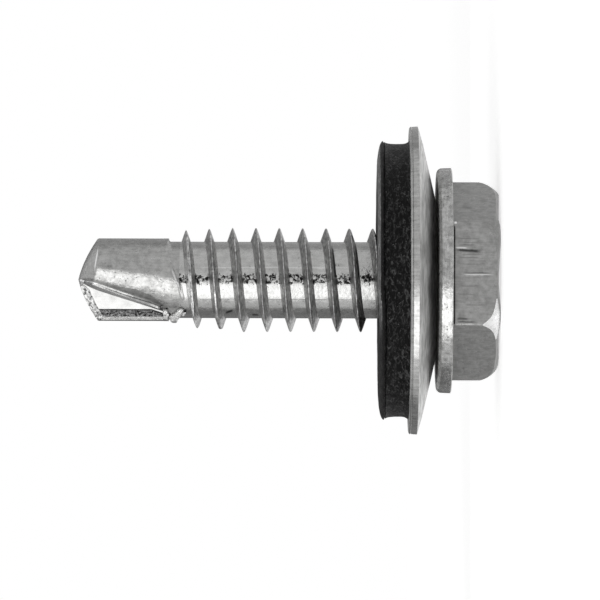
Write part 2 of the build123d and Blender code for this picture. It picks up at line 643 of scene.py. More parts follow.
        # Shallow dents, deeper in the torn stripe
        depth = self.dent_depth * MM
        normal = add(BUMP, {"Height": broad, "Distance": depth, "Strength": 1.0})
        if self.torn_stripe:
            share = self.stripe_share(tree, place, self.torn_stripe)
            more = self.TORN * self.dent_depth * MM
            deeper = add(MATH, (share, more, depth), operation="MULTIPLY_ADD")
            connect(tree, normal, {"Distance": deeper})

        if self.pit_cover:
            pitted = {"Vector": place, "Scale": 1 / (self.pit_size * MM), "Detail": 3.0}
            level = add(NOISE, {**pitted, "Roughness": 0.65, "Distortion": 0.5})
            if self.pit_stripe:
                share = self.stripe_share(tree, place, self.pit_stripe)
                moved = (share, self.STRIPE_PITS, level)
                level = add(MATH, moved, operation="MULTIPLY_ADD")
            edge = self.PIT_EDGE + self.PIT_SPAN * self.pit_cover
            low, high = (edge + part for part in self.PIT_RANGE)
            fall = {"Value": level, "From Min": low, "From Max": high, "To Min": 1.0, "To Max": 0.0}
            pit = add(MAP_RANGE, fall)
            layers = {0: pit, 6: colour, 7: linear(self.pit_colour)}
            colour = add(MIX, layers, data_type="RGBA")
            sunk = {"Height": pit, "Distance": self.pit_depth * MM, "Normal": normal}
            normal = add(BUMP, {**sunk, "Strength": 1.0}, invert=True)

        for mark in self.scratches_and_painted_light:
            mask = self.straight_mark_mask(tree, place, mark)
            share = add(MATH, (mask, abs(mark.shade)), operation="MULTIPLY")
            tint = self.DARK_MARK if mark.shade > 0 else self.LIGHT_MARK
            layers = {0: share, 6: colour, 7: linear(tint)}
            colour = add(MIX, layers, data_type="RGBA")

        low, high = self.GLOSS_RANGE
        gloss = {"Value": broad, "From Min": low, "From Max": high}
        gloss |= {"To Min": self.polish - self.unevenness, "To Max": self.polish + self.unevenness}
        roughness = add(MAP_RANGE, gloss)
        lines = {"Height": fine, "Distance": self.grain_depth * MM, "Strength": 1.0}
        relief = add(BUMP, {**lines, "Normal": normal})
        final = {"Metallic": 1.0, "Base Color": colour, "Roughness": roughness, "Normal": relief}
        connect(tree, shader, final)
        return material


@dataclass(frozen=True)
class MouldedRubber:
    """Black EPDM, vulcanised and cut.

    The eye sees a matt, near-black ring with a felt-like surface and a few pale flecks of dust.
    That texture is drawn a few times coarser than the real one, so that it shows.

    Attributes:
        name: the material's name.
        body: colour of the rubber.
        bloom: colour where the felt is rubbed or holds dust.
        fleck: colour of single flecks.
        fleck_size: size of the flecks.
        fibre: size of the felt-like texture.
        fibre_depth: depth of that texture.
        has_painted_sheen: whether a painted sheen lies on the outer part of the face.
        sheen_tones: darkest and palest colour of that painted sheen.
        sheen_radii: distances from the axis where the painted sheen starts and is full.
        sheen_sides: the same along X.
    """

    name: str = "moulded_epdm"
    body: str = "030303"
    bloom: str = "545454"
    fleck: str = "8A8A8A"
    fleck_size: float = 0.09
    fibre: float = 0.15
    fibre_depth: float = 0.06
    has_painted_sheen: bool = False
    sheen_tones: tuple[str, str] = ("6A6A6A", "BEBEBE")
    sheen_radii: Pair = (4.3, 5.6)
    sheen_sides: Pair = (-3.0, -1.0)

    # The same on every face of the rubber
    FIBRE_LEAN = -25  # the fibres' turn about Y
    FIBRE_SCALE = (0.55, 0.55, 1.1)
    RUBBED_RANGE = (0.50, 0.66)
    FLECK_RANGE = (0.70, 0.78)

    def sheen_share(self, tree: NodeTree, place: NodeSocket) -> Node:
        """How much of the face the painted sheen covers, fading out inwards and to one side.

        Args:
            tree: the material's tree.
            place: object coordinates.

        Returns:
            The node that gives the share, from 0 to 1.
        """
        add = partial(add_node, tree)
        flat = add(VECTOR_MATH, (place, (1, 1, 0)), operation="MULTIPLY")
        radius = add(VECTOR_MATH, (flat,), operation="LENGTH")
        side = add(SEPARATE, (place,)).outputs["X"]
        shares = []
        for value, (low, high) in ((radius, self.sheen_radii), (side, self.sheen_sides)):
            fade = {"Value": value, "From Min": low * MM, "From Max": high * MM}
            shares.append(add(MAP_RANGE, fade, interpolation_type="SMOOTHSTEP"))
        return add(MATH, shares, operation="MULTIPLY")

    def build(self) -> Material:
        """Builds the material.

        Returns:
            The procedural material.
        """
        material, tree, shader = new_material(self.name)
        add = partial(add_node, tree)
        place = add("ShaderNodeTexCoord").outputs["Object"]
        turn = (0, radians(self.FIBRE_LEAN), 0)
        drawn = {"Vector": place, "Rotation": turn, "Scale": self.FIBRE_SCALE}
        felt = {"Vector": add("ShaderNodeMapping", drawn), "Scale": 1 / (self.fibre * MM)}
        felt |= {"Detail": 6.0, "Roughness": 0.7, "Distortion": 1.2}
        fibres = add(NOISE, felt)
        low, high = self.RUBBED_RANGE
        rubbed = add(MAP_RANGE, {"Value": fibres, "From Min": low, "From Max": high})
        ends = {0: rubbed, 6: linear(self.body), 7: linear(self.bloom)}
        colour = add(MIX, ends, data_type="RGBA")
        # Painted sheen: a pale layer over the outer part of the face, on one side
        if self.has_painted_sheen:
            ends = {0: rubbed, 6: linear(self.sheen_tones[0]), 7: linear(self.sheen_tones[1])}
            sheen_tones = add(MIX, ends, data_type="RGBA")
            layers = {0: self.sheen_share(tree, place), 6: colour, 7: sheen_tones}
            colour = add(MIX, layers, data_type="RGBA")
        specks = {"Vector": place, "Scale": 1 / (self.fleck_size * MM), "Detail": 2.0}
        dust = add(NOISE, specks)
        low, high = self.FLECK_RANGE
        flecks = add(MAP_RANGE, {"Value": dust, "From Min": low, "From Max": high})
        layers = {0: flecks, 6: colour, 7: linear(self.fleck)}
        colour = add(MIX, layers, data_type="RGBA")
        depth = self.fibre_depth * MM
        relief = add(BUMP, {"Height": fibres, "Distance": depth, "Strength": 1.0})
        matt = {"Roughness": 0.5, "Specular IOR Level": 0.1}
        connect(tree, shader, {**matt, "Base Color": colour, "Normal": relief})
        return material


# ---- The screw ----


class Zone(Enum):
    """The screw's surfaces, each as its tool left it; some carry painted light and shade."""

    # Cold-headed faces: an even mid grey, scratches along the screw and one painted highlight
    HEAD = ZincPlatedSteel(
        "forged_head", pale="929291", dull="7A7A79", stain=0.3, polish=0.33, grain_size=0.07,
        grain_depth=0.004, dent_size=0.2, dent_depth=0.008,
        scratches_and_painted_light=straight_marks(
            (1.33, 0.85, 2.12, -0.09, 0.13, 0.85), (1.46, 1.50, 2.10, -0.03, 0.07, -0.5),
            (0.33, 0.40, 1.78, 0.0, 0.06, 0.5), (0.26, 0.30, 1.80, 0.0, 0.06, -0.45),
            (1.86, 0.90, 2.00, 0.0, 0.04, 0.30), (1.70, 0.60, 1.90, 0.02, 0.05, 0.25),
            (1.58, 1.10, 2.05, 0.0, 0.04, 0.35), (1.16, 0.70, 1.90, 0.0, 0.04, 0.30),
            (1.02, 0.90, 2.00, 0.0, 0.05, 0.35), (0.88, 0.50, 1.60, 0.0, 0.04, 0.20),
            (0.72, 0.60, 1.70, 0.02, 0.04, 0.25), (-0.25, 0.90, 2.00, 0.0, 0.05, 0.35),
            (-0.62, 1.10, 2.05, 0.01, 0.04, 0.30), (-1.10, 0.70, 1.70, 0.0, 0.05, 0.25),
            (-1.72, 1.45, 2.05, 0.0, 0.10, 0.60), (-1.86, 1.10, 2.05, 0.0, 0.07, 0.60),
            # The next line's first mark is a painted highlight: a white dot where a corner meets
            # the flange
            (2.58, 1.98, 2.12, 0.0, 0.10, -0.9), (3.30, 1.20, 1.80, 0.0, 0.16, 0.25),
        ),
    )
    # The flange's edge, pressed into its die: bright and glossy, with a fine orange peel
    FLANGE = ZincPlatedSteel(
        "trimmed_flange", pale="B2B2B1", dull="848483", stain=0.25, polish=0.22,
        grain=Grain.TURNED, dent_size=0.13, dent_depth=0.011, pit_size=0.13, pit_cover=0.30,
        pit_colour="6A6A6A",
    )
    # Painted highlight, almost white; on the thread's last turns also rubbed wear
    CORNER = ZincPlatedSteel("burnished_and_painted_highlight", pale="F0F0F0", dull="C8C8C8", polish=0.25)
    # Painted shade in the gap at the foot of the near face: dark and dull
    PAINTED_SHADE_GAP = ZincPlatedSteel("painted_shade_gap", pale="4A4A4A", dull="1E1E1E", polish=0.5)
    # The core that the dies' crests rolled: smooth, with a row of dark specks along its middle
    CORE = ZincPlatedSteel(
        "rolled_core", pale="ACACAB", dull="989897", stain=0.3, polish=0.23, dent_size=0.15,
        dent_depth=0.008, pit_size=0.15, pit_cover=0.04, pit_depth=0.03, pit_colour="161616",
        torn_stripe=(0.28, 0.45), pit_stripe=(0.05, 0.34),
        scratches_and_painted_light=straight_marks(
            (-1.44, 12.02, 12.42, 0.12, 0.10, 0.95), (-1.58, 10.86, 11.22, 0.0, 0.08, 0.9),
            (-1.40, 14.12, 14.38, 0.0, 0.15, 0.95), (0.56, 5.6, 14.6, 0.0, 0.06, -0.22),
            (-0.88, 5.6, 14.6, 0.0, 0.06, 0.35),
        ),
    )
    # The thread's flanks, where metal flowed outwards: light and dark streaks round the axis
    FLANK = ZincPlatedSteel(
        "rolled_flank", pale="DCDCDB", dull="727272", stain=0.25, polish=0.32,
        grain=Grain.TURNED, grain_size=0.06, grain_depth=0.005, dent_size=0.15, dent_depth=0.02,
        torn_stripe=(-0.05, 0.9), streak=0.5,
    )
    # The thread's crest, where the flow ended: a pale, broken line
    CREST = ZincPlatedSteel(
        "rolled_crest", pale="CECECD", dull="747474", stain=0.22, polish=0.36, dent_size=0.12,
        dent_depth=0.014, torn_stripe=(-0.05, 0.9),
    )
    # The drill body as the pinch dies left it: grey, finely hammered, with a few deep marks,
    # and with painted highlights and painted shade among them
    POINT = ZincPlatedSteel(
        "pinched_point", pale="A2A2A1", dull="888887", stain=0.25, polish=0.31, unevenness=0.09,
        dent_size=0.16, dent_depth=0.017, pit_size=0.1, pit_cover=0.24, pit_colour="7A7A7A",
        scratches_and_painted_light=straight_marks(
            # Painted highlight along the slanted end of the drill body, then a painted shadow spot
            # beside it
            (-0.05, 14.30, 14.84, -1.12, 0.20, -0.9), (0.05, 14.36, 14.52, 0.0, 0.12, 0.9),
            # Painted highlight on the shoulder's edge, then painted shade in the hollow between the
            # burrs
            (0.90, 18.13, 18.31, 1.05, 0.40, -0.75), (-1.58, 14.82, 15.00, 0.0, 0.15, 0.95),
            (-1.30, 14.98, 15.10, 0.0, 0.07, 0.9), (0.60, 17.45, 17.75, 0.0, 0.16, 0.3),
            (-0.95, 15.4, 17.9, 2.0, 0.20, 0.25),
        ),
    )
    # Flash that curled up between the dies: pale, crumpled and matt
    BURR = ZincPlatedSteel(
        "torn_burr", pale="DADAD9", dull="8E8E8D", polish=0.4, dent_size=0.09, dent_depth=0.02
    )
    # The flat face of the flute: the smoothest and glossiest part of the point
    RAKE = ZincPlatedSteel(
        "coined_rake", pale="9A9A99", dull="8E8E8D", polish=0.2, dent_depth=0.003
    )
    # The flute's back wall: painted shade, a darker, duller grey
    WALL = ZincPlatedSteel("painted_shade_wall", pale="7E7E7E", dull="5A5A5A", stain=0.3, polish=0.45)
    # The rounded edge over that wall: soft, with painted shade a little darker than the body
    PAINTED_SHADE_RIM = ZincPlatedSteel("painted_shade_rim", pale="848483", dull="646463", stain=0.2, polish=0.35)
    # Painted shade: dark lines in the flute's creases and on the thread's roots near the washer
    EDGE = ZincPlatedSteel("painted_shade_line", pale="5E5E5E", dull="2A2A2A", stain=0.4, polish=0.5)
    # The strip along the cutting lip, where the flash was sheared off: coarse and pitted
    LIP = ZincPlatedSteel(
        "sheared_lip", pale="C6C6C5", dull="727272", stain=0.12, polish=0.4, dent_size=0.1,
        dent_depth=0.03, pit_size=0.12, pit_cover=0.52, pit_colour="3A3A3A",
    )
    # The strip along the margin, torn deeper, with painted shade: almost black in its hollows
    TORN_LAND_AND_PAINTED_SHADE = ZincPlatedSteel(
        "sheared_land_and_painted_shade", pale="909090", dull="262626", stain=0.12, polish=0.42, dent_size=0.1,
        dent_depth=0.035, pit_size=0.1, pit_cover=0.70, pit_colour="1E1E1E",
    )


@dataclass
class Screw:
    """Head, shank, thread and drill point, forged and rolled in one piece.

    A table holds pairs: a radius, level, angle or turn of the thread, and the value there.
    """

    # Head
    across_flats: float = 7.9
    hex_height: float = 2.155
    hex_turn: float = 4.0
    hex_edge_radii: tuple[float, ...] = (0.45, 0.12, 0.12, 0.12, 0.12, 0.38)
    hex_edge_span: float = 4.0  # half the angle over which mesh columns crowd at a corner
    top_face_radius: float = 3.55
    soft_crown: Table = (  # by radius, how far the rounded corners lie under the top face
        (3.55, 0.0), (3.85, 0.03), (4.00, 0.08), (4.12, 0.15), (4.26, 0.29), (4.40, 0.48),
        (4.50, 0.70), (4.57, 0.92),
    )
    cut_crown: Table = (  # the same at the corner that is cut
        (3.55, 0.0), (3.90, 0.0), (4.02, 0.07), (4.15, 0.21), (4.23, 0.33), (4.33, 0.49),
        (4.42, 0.68), (4.50, 0.95), (4.57, 1.15),
    )
    cut_span: Pair = (12, 32)  # angles from the cut corner where the cut fades out
    face_dip: float = 0.12
    foot_relief: float = 0.07
    flange_radius: float = 5.12
    flange_thickness: float = 0.685
    flange_under_radius: float = 0.25
    flange_edge_break: float = 0.04
    flange_draft: float = 0.014

    # Shank and thread
    length: float = 16.26  # from under the flange to the tip
    neck_radius: float = 2.0
    neck_length: float = 2.3
    neck_root_break: float = 0.2
    core_radius: float = 1.735
    core_run_out: float = 0.2
    thread_radius: float = 2.38
    pitch: float = 1.0605
    flank_angle: float = 36.0
    crest_width: float = 0.05
    root_sink: float = 0.07  # how deep the ridge is rooted in the core
    first_full_crest: float = 2.89  # from under the flange to the crest nearest it, at +X
    turns_below: float = 0.5  # of thread before that crest, where it runs out
    turns: float = 9.08
    crest_unevenness: float = 0.04
    crest_blend: float = 0.08  # how softly the crest's height is held down
    wander_fineness: float = 2.2  # of the noise that makes the crest uneven
    crest_heights: Table = (  # by turn, as a share of the full height
        (0.0, -0.1), (0.5, 0.97), (5.5, 1.0), (6.4, 1.02), (6.7, 0.92), (7.0, 0.79), (7.2, 0.84),
        (7.5, 1.05), (8.0, 0.9), (8.25, 0.8), (8.5, 1.0), (8.9, 0.5), (9.0, 0.35), (9.08, -0.1),
    )
    ridge_sizes: Table = (  # by turn, as a share of the full section
        (0.0, 1.0), (6.4, 1.0), (7.0, 0.94), (7.5, 0.93), (8.0, 0.72), (8.25, 0.98), (8.5, 0.82),
        (9.08, 0.66),
    )
    cleft_depths: Table = (  # by turn, as a share of the full height
        (0.0, 0.0), (7.6, 0.0), (8.05, 0.0), (8.25, 0.12), (8.42, 0.02), (8.6, 0.0), (9.08, 0.0)
    )
    cleft_width: float = 0.075

    # Drill point
    drill_radius: float = 1.88
    drill_length: float = 4.1  # from the foot of the drill body to the tip
    point_angle: float = 129.0
    point_bulge: float = 0.11
    point_rounding: float = 0.05
    web_thickness: float = 0.5
    rake_tilt: float = 9.0
    rake_pivot: float = 0.75  # distance from the axis where the rake face is half the web away
    flute_centre_offset: float = 0.03  # from the wall to the axis, at the tip
    flute_bend_offset: float = 0.55  # the same where the wall's curve ends
    flute_bend_length: float = 1.05  # of that curve along the axis
    flute_run_out_angle: float = 17.5
    # By level: lean of the flute's wall, radius of its rounded edge, width of the shelf between
    flute_drafts: Table = ((15.2, 5.0), (15.8, 6.0), (17.1, 7.0), (17.8, 9.0), (18.4, 10.5))
    flute_end: float = 0.22  # from the foot of the drill body to the flute
    flute_edge_sizes: Table = (
        (15.2, 0.10), (15.45, 0.30), (15.77, 0.42), (16.44, 0.42), (17.12, 0.32), (17.80, 0.26),
        (18.26, 0.22), (18.70, 0.15), (19.10, 0.08),
    )
    flute_edge_sweep: float = 64.0
    flute_edge_lift: float = 0.01  # how far the cutter's rounding stands over the drill body
    flute_shelf_widths: Table = ((15.8, 0.11), (16.6, 0.085), (18.0, 0.07))
    flute_shelf_lean: float = 15.0
    land_drop: float = 0.14
    land_start: float = 0.08
    margin_land_width: float = 0.335
    margin_width: float = 0.20
    lip_land_width: float = 0.32
    lip_land_drop: float = 0.05
    land_texture: Table = ((11, 0.016), (23, 0.012))
    # By level: the angle from +X where the body falls away towards the flute, and how steeply
    heel_start: Table = ((14.0, 88.0), (15.0, 84.5), (18.2, 71.0))
    heel_slope: Table = ((14.3, 0.08), (14.9, 0.08), (15.83, 0.22), (17.15, 0.36), (18.2, 0.46))
    heel_blend: float = 0.10
    heel_end: float = 168.0
    # By that angle: the level where the drill body ends, and the length of the slant there
    pinch_end: Table = (
        (0, 14.97), (60, 14.93), (78, 14.76), (98, 14.44), (120, 14.32), (145, 14.45),
        (160, 14.85), (168, 14.97), (180, 14.97),
    )
    pinch_end_width: Table = (
        (0, 0.03), (8, 0.03), (30, 0.3), (60, 0.5), (78, 0.38), (90, 0.12), (98, 0.14),
        (120, 0.20), (150, 0.24), (168, 0.3), (176, 0.03), (180, 0.03),
    )
    shank_top: float = 14.0
    # Each burr's place and radius, and the noises that make it rough: fineness, shift and height
    burrs: tuple[tuple[tuple[float, float, float], float], ...] = (
        ((-1.67, -0.76, 14.73), 0.235), ((-1.62, -0.88, 14.63), 0.19),
        ((-1.54, -0.99, 14.54), 0.17), ((-1.45, -1.09, 14.46), 0.15),
        ((-1.39, -1.15, 14.40), 0.12), ((-1.56, -0.86, 14.30), 0.09),
        ((-1.51, -0.94, 14.25), 0.07), ((-1.46, -1.06, 15.13), 0.15),
        ((-1.66, -0.82, 15.11), 0.15), ((-1.58, -0.94, 15.02), 0.09),
        ((-1.62, -0.30, 15.33), 0.07),
    )
    burr_texture: tuple[tuple[float, float, float], ...] = ((1.4, 3, 0.32), (3.7, 5, 0.2))
    nick: tuple[float, float, float] = (1.41, 0.0, 0.05)  # place in X and Y, and depth
    nick_radius: float = 0.12

    # Where finishes meet
    rubbed_and_highlit_turn: float = 7.9  # the turns past this one are rubbed bright, with painted highlight
    rubbed_and_highlit_side: float = 0.9  # up to here along X
    burr_level: float = 14.34
    point_finish_level: float = 14.45
    painted_shade_root_level: float = 7.7  # up to here the thread's lower roots get painted shade
    painted_shade_root_sides: Pair = (0.1, 1.4)

    # Mesh
    columns: int = 240
    crease: float = 28
    tip_gap: float = 0.001  # keeps the tip inside the CAD model's box

    def __post_init__(self) -> None:
        """Works out the levels and radii that follow from the sizes."""
        self.seat_level = self.hex_height + self.flange_thickness
        self.neck_end = self.seat_level + self.neck_length
        self.tip_level = self.seat_level + self.length - self.tip_gap
        self.drill_level = self.tip_level - self.drill_length
        self.flute_level = self.drill_level + self.flute_end
        self.point_slope = 1 / tan(radians(self.point_angle / 2))
        self.point_sine = sin(radians(self.point_angle / 2))
        self.run_out_slope = tan(radians(self.flute_run_out_angle))
        self.apothem = self.across_flats / 2
        self.corner_radius = self.across_flats / sqrt(3)
        self.margin_edge = self.drill_radius - self.margin_width
        self.half_web = self.web_thickness / 2
        self.wall_angles: dict[float, float] = {}

    # -- Head --

    def hex_radius(self, angle: float) -> float:
        """Distance from the axis to the hexagon's rounded outline.

        Args:
            angle: direction in radians.

        Returns:
            The distance.
        """
        sector = radians(60)
        turned = angle - radians(self.hex_turn) + sector / 2
        edge = self.hex_edge_radii[int(turned // sector) % 6]
        from_corner = turned % sector - sector / 2
        flat = self.apothem / cos(sector / 2 - abs(from_corner))
        centre = self.corner_radius - edge / cos(radians(30))
        tangent = atan2(edge * sin(radians(30)), centre + edge * cos(radians(30)))
        if abs(from_corner) >= tangent:
            return flat
        side = centre * sin(abs(from_corner))
        return centre * cos(from_corner) + sqrt(edge**2 - side**2)

    def crown_level(self, radius: float, angle: float) -> float:
        """Level of the rounded corners' surface.

        Args:
            radius: distance from the axis.
            angle: angle from +X in radians; the corner beside +X is cut rather than rounded.

        Returns:
            The level, zero at the top face.
        """
        away = abs((degrees(angle) - self.hex_turn + 180) % 360 - 180)
        cut = 1 - smooth_step(*self.cut_span, away)
        soft = table_value(self.soft_crown, radius)
        return soft + (table_value(self.cut_crown, radius) - soft) * cut

    def hex_columns(self) -> list[float]:
        """Column angles that follow the hexagon.

        Returns:
            The angles in radians, close together at the hexagon's corners.
        """
        per_face, near, span = self.columns // 6, 5, self.hex_edge_span
        angles = []
        for face in range(6):
            at = self.hex_turn + 60 * face
            angles += spread(at - span, at + span, 2 * near)
            angles += spread(at + span, at + 60 - span, per_face - 2 * near)
        return [radians(a) for a in angles]

    def even_columns(self) -> list[float]:
        """Evenly spaced column angles, in step with the hexagon's first column."""
        start = radians(self.hex_turn - self.hex_edge_span)
        return spread(start, start + 2 * pi, self.columns)

    def relief_at(self, angle: float) -> float:
        """Depth of the gap under the hexagon, deepest on one face and shallow elsewhere.

        Args:
            angle: direction in radians.

        Returns:
            The depth.
        """
        away = (degrees(angle) - self.hex_turn + 90 + 180) % 360 - 180
        if away < -30:
            return self.foot_relief * (0.15 + 0.25 * (away > -90))
        return self.foot_relief * (0.15 + 0.85 * (1 - smooth_step(27, 30.5, away)))

    def head_rings(self) -> list[Ring]:
        """Rings from the middle of the head's top face to the flange's outline.

        Returns:
            The rings in order.
        """
        angles, even = self.hex_columns(), self.even_columns()
        outline = [self.hex_radius(a) for a in angles]
        relief = [self.relief_at(a) for a in angles]
        dip = [self.face_dip * smooth_step(0.90, 0.99, self.apothem / full) for full in outline]
        rings: list[Ring] = []

        # Top face, then the crown out to the corners
        first, steps = self.top_face_radius, 14
        rows = [[first * share] * len(angles) for share in (0.2, 0.4, 0.6, 0.8)]
        for i in range(steps + 1):
            t = (i / steps) ** 0.8
            rows.append([first + (full - first) * t for full in outline])
        for radii in rows:
            levels = [
                self.crown_level(radius, angle) + drop * min(1.0, radius / self.apothem)
                for radius, angle, drop in zip(radii, angles, dip)
            ]
            rings.append(ring_of(radii, angles, levels))

        # Side faces, the gap at their foot and the flange's top
        edge = [point.z for point in rings[-1]]
        foot, steps = self.hex_height, 5
        for i in range(1, steps + 1):
            levels = [top + (foot - 1.3 * gap - top) * i / steps for top, gap in zip(edge, relief)]
            rings.append(ring_of(outline, angles, levels))
        inner = [full - gap for full, gap in zip(outline, relief)]
        for share in (1.1, 0.0):
            rings.append(ring_of(inner, angles, [foot - share * gap for gap in relief]))
        outer = self.flange_radius - self.flange_edge_break
        for share in (0.25, 0.5, 0.75):
            turns = [hexed + (plain - hexed) * share for hexed, plain in zip(angles, even)]
            radii = [radius * (1 - share) + outer * share for radius in inner]
            rings.append(ring_of(radii, turns, [foot] * len(turns)))
        return rings

    # -- Shank --

    def flange_and_core(self) -> list[Pair]:
        """Profile from the flange's edge to the foot of the drill body.

        Returns:
            The points, as radius and level.
        """
        edge, under, seat = self.flange_edge_break, self.flange_under_radius, self.seat_level
        root = self.neck_root_break
        inner = self.flange_radius - self.flange_draft - under
        levels = spread(self.neck_end + self.core_run_out, self.shank_top, 22)
        return [
            (self.flange_radius - edge, self.hex_height),
            (self.flange_radius, self.hex_height + edge),
            *corner((inner, seat - under), under, 2, 90, 8),
            *((radius, seat) for radius in (4.2, 3.5, 2.8)),
            *corner((self.neck_radius + root, seat + root), root, -90, -180, 4),
            (self.neck_radius, self.neck_end - 1),
            (self.neck_radius, self.neck_end),
            *((self.core_radius, level) for level in levels),
        ]

    # -- Drill point --

    def flute_wall(self, level: float) -> float:
        """Distance from the axis back to the flute's wall, on the rake face.

        Args:
            level: height.

        Returns:
            The distance there.
        """
        bend_level = self.tip_level - self.flute_bend_length
        if level <= bend_level:
            return self.flute_bend_offset + (bend_level - level) * self.run_out_slope
        lean = radians(self.flute_run_out_angle)
        across = self.flute_bend_offset - self.flute_centre_offset
        span = hypot(across, self.flute_bend_length)
        bow = 2 * (across * cos(lean) - self.flute_bend_length * sin(lean))
        radius = span * span / bow
        centre_x = -self.flute_bend_offset + radius * cos(lean)
        centre_z = bend_level - radius * sin(lean)
        rise = min(level - centre_z, radius)
        return max(-centre_x + sqrt(radius**2 - rise**2), -0.2)

    def draft_at(self, level: float) -> float:
        """Slope of the flute's wall away from the rake face's normal, at a level."""
        return tan(radians(table_value(self.flute_drafts, level)))

    def wall_outer_angle(self, level: float) -> float:
        """Angle from +X, past the viewer's side, at which the flute's wall meets the outside.

        Args:
            level: height.

        Returns:
            The angle in radians, kept for the next call at that level.
        """
        key = round(level, 3)
        if key not in self.wall_angles:
            draft = self.draft_at(level)
            shoulder = self.tip_level - self.drill_radius * self.point_slope
            back = self.flute_wall(min(level, shoulder))
            out = self.drill_radius * 0.9
            for _ in range(4):
                x = -back + draft * (out - self.half_web)
                out = sqrt(max(0.1, self.drill_radius**2 - x * x))
            self.wall_angles[key] = atan2(out, x)
        return self.wall_angles[key]

    def body_radius(self, turn: float, level: float) -> float:
        """Radius of the drill body, which falls away towards each flute and ends at the core.

        Args:
            turn: angle in radians from +X, measured past the first flute's side.
            level: height.

        Returns:
            The radius there.
        """
        turn = turn % pi
        edge = self.wall_outer_angle(max(level, self.flute_level))
        start = radians(table_value(self.heel_start, level))
        slope = table_value(self.heel_slope, level)
        way = self.drill_radius * max(0.0, min(turn, edge) - start)
        fall = slope * way * way / (way + self.heel_blend)
        if turn > edge:
            fall *= 1 - smooth_step(0.0, radians(self.heel_end) - edge, turn - edge)
        body = self.drill_radius - fall
        end = table_value(self.pinch_end, degrees(turn))
        half = table_value(self.pinch_end_width, degrees(turn)) / 2
        risen = smooth_step(end - half, end + half, level)
        return self.core_radius + (body - self.core_radius) * risen

    def point_level(self, radius: float, outer: float) -> float:
        """Level of the point's gently bulged cone, given the cone's outer radius."""
        t = radius / outer
        return self.tip_level - radius * self.point_slope + self.point_bulge * 4 * t * (1 - t)

    def under_cone(self, radius: float, level: float) -> float:
        """Depth under the point's cone, square to it."""
        return (self.point_level(radius, self.drill_radius) - level) * self.point_sine

    def lip_width(self, x: float) -> float:
        """Width of the land along the cutting lip, which narrows towards the web."""
        return self.lip_land_width * smooth_step(0.0, 0.5, x) + 0.02

    def drill_rings(self) -> list[Ring]:
        """Rings from the top of the plain core to near the tip.

        Returns:
            The rings in order.
        """
        rings: list[Ring] = []
        angles = self.even_columns()
        middle = self.flute_level + 0.1
        for level in spread(self.shank_top, middle, 40):
            radii = [self.body_radius(-a, level) for a in angles]
            rings.append(ring_of(radii, angles, [level] * len(angles)))
        rows, cone_steps = 36, 16
        outer = [self.body_radius(-a, self.tip_level - 0.9) for a in angles]
        top = [self.point_level(r, r) - self.point_rounding for r in outer]
        for i in range(rows + 1):
            levels = [middle + (shoulder - middle) * i / rows for shoulder in top]
            radii = [self.body_radius(-a, level) for a, level in zip(angles, levels)]
            rings.append(ring_of(radii, angles, levels))
        body_end = [hypot(point.x, point.y) for point in rings[-1]]
        for i in range(cone_steps):
            share = 1 - (i + 0.25) / (cone_steps + 0.25)
            ring = []
            for angle, full in zip(angles, body_end):
                point = polar(full * share, angle)
                missed = 1 - (point - Vector((*self.nick[:2], 0))).length / self.nick_radius
                point.z = self.point_level(full * share, full) - self.nick[2] * max(0.0, missed)
                ring.append(point)
            rings.append(ring)
        return rings

    def land_edge(self, foot: float) -> float:
        """Where the sunken land beside the margin starts, given the place of the wall's foot."""
        return max(self.margin_edge - self.margin_land_width, foot + self.land_start)

    def edge_setback(self, depth: float, size: float) -> float:
        """How far the flute's rounded edge stands back from its wall.

        Args:
            depth: depth under the drill body's surface.
            size: radius of the rounding.

        Returns:
            The distance, nothing below the shelf at the wall's top.
        """
        sweep = radians(self.flute_edge_sweep)
        sunk = max(0.0, depth + self.flute_edge_lift)
        if sunk > size * (1 - cos(sweep)):
            return 0.0
        return self.flute_shelf_widths[-1][1] + size * (sin(sweep) - sin(acos(1 - sunk / size)))

    def wall_row(
        self, foot: float, base: float, buried: float, level_at: Callable[[float], float]
    ) -> Ring:
        """One row of the flute's wall: rounded edge, narrow shelf and the leaning wall itself.

        Args:
            foot: distance from the axis back to the wall's foot.
            base: height of the rake face there.
            buried: depth of the row under the point's cone.
            level_at: tells the row's height over a distance from the axis.

        Returns:
            The points from the outside back to the foot.
        """
        rim_level = level_at(self.drill_radius)
        draft = self.draft_at(rim_level)
        size = table_value(self.flute_edge_sizes, rim_level)
        back = self.edge_setback(buried, size)

        def wall_x(out: float) -> float:
            """Where the wall lies along X.

            Args:
                out: height over the axis plane.

            Returns:
                The place, settled over a few tries because the row's level depends on it.
            """
            level = level_at(hypot(foot, out))
            for _ in range(3):
                x = -self.flute_wall(level) + draft * (out - base)
                x += back * smooth_step(base + 0.03, base + 0.35, out)
                level = level_at(hypot(x, out))
            return x

        # Turn about the axis until the shelf under the rounding meets the wall
        sweep, lean = radians(self.flute_edge_sweep), radians(self.flute_shelf_lean)
        shelf = Vector((cos(lean), sin(lean))) * table_value(self.flute_shelf_widths, rim_level)
        turn = atan2(1.7, wall_x(1.6) + 0.3)
        for _ in range(6):
            surface = self.body_radius(turn, rim_level)
            normal = Vector((cos(turn), sin(turn)))
            along = Vector((sin(turn), -cos(turn)))
            centre = normal * (surface + self.flute_edge_lift - size)
            low = centre + size * (cos(sweep) * normal - sin(sweep) * along) - shelf
            turn += (low.x - wall_x(low.y)) / (surface * sin(turn))
        # Out of the drill body, round the edge, across the shelf and down the wall
        top, start = centre + size * normal, base + 0.02
        flat = [Vector((top.x + 0.03, self.drill_radius + over)) for over in (0.5, 0.12)]
        for angle in [*spread(0.0, sweep, 8), sweep]:
            flat.append(centre + size * (cos(angle) * normal - sin(angle) * along))
        flat += [Vector((wall_x(out), out)) for out in [*spread(low.y, start, 26), start]]
        return [Vector((p.x, -p.y, level_at(p.length))) for p in flat]

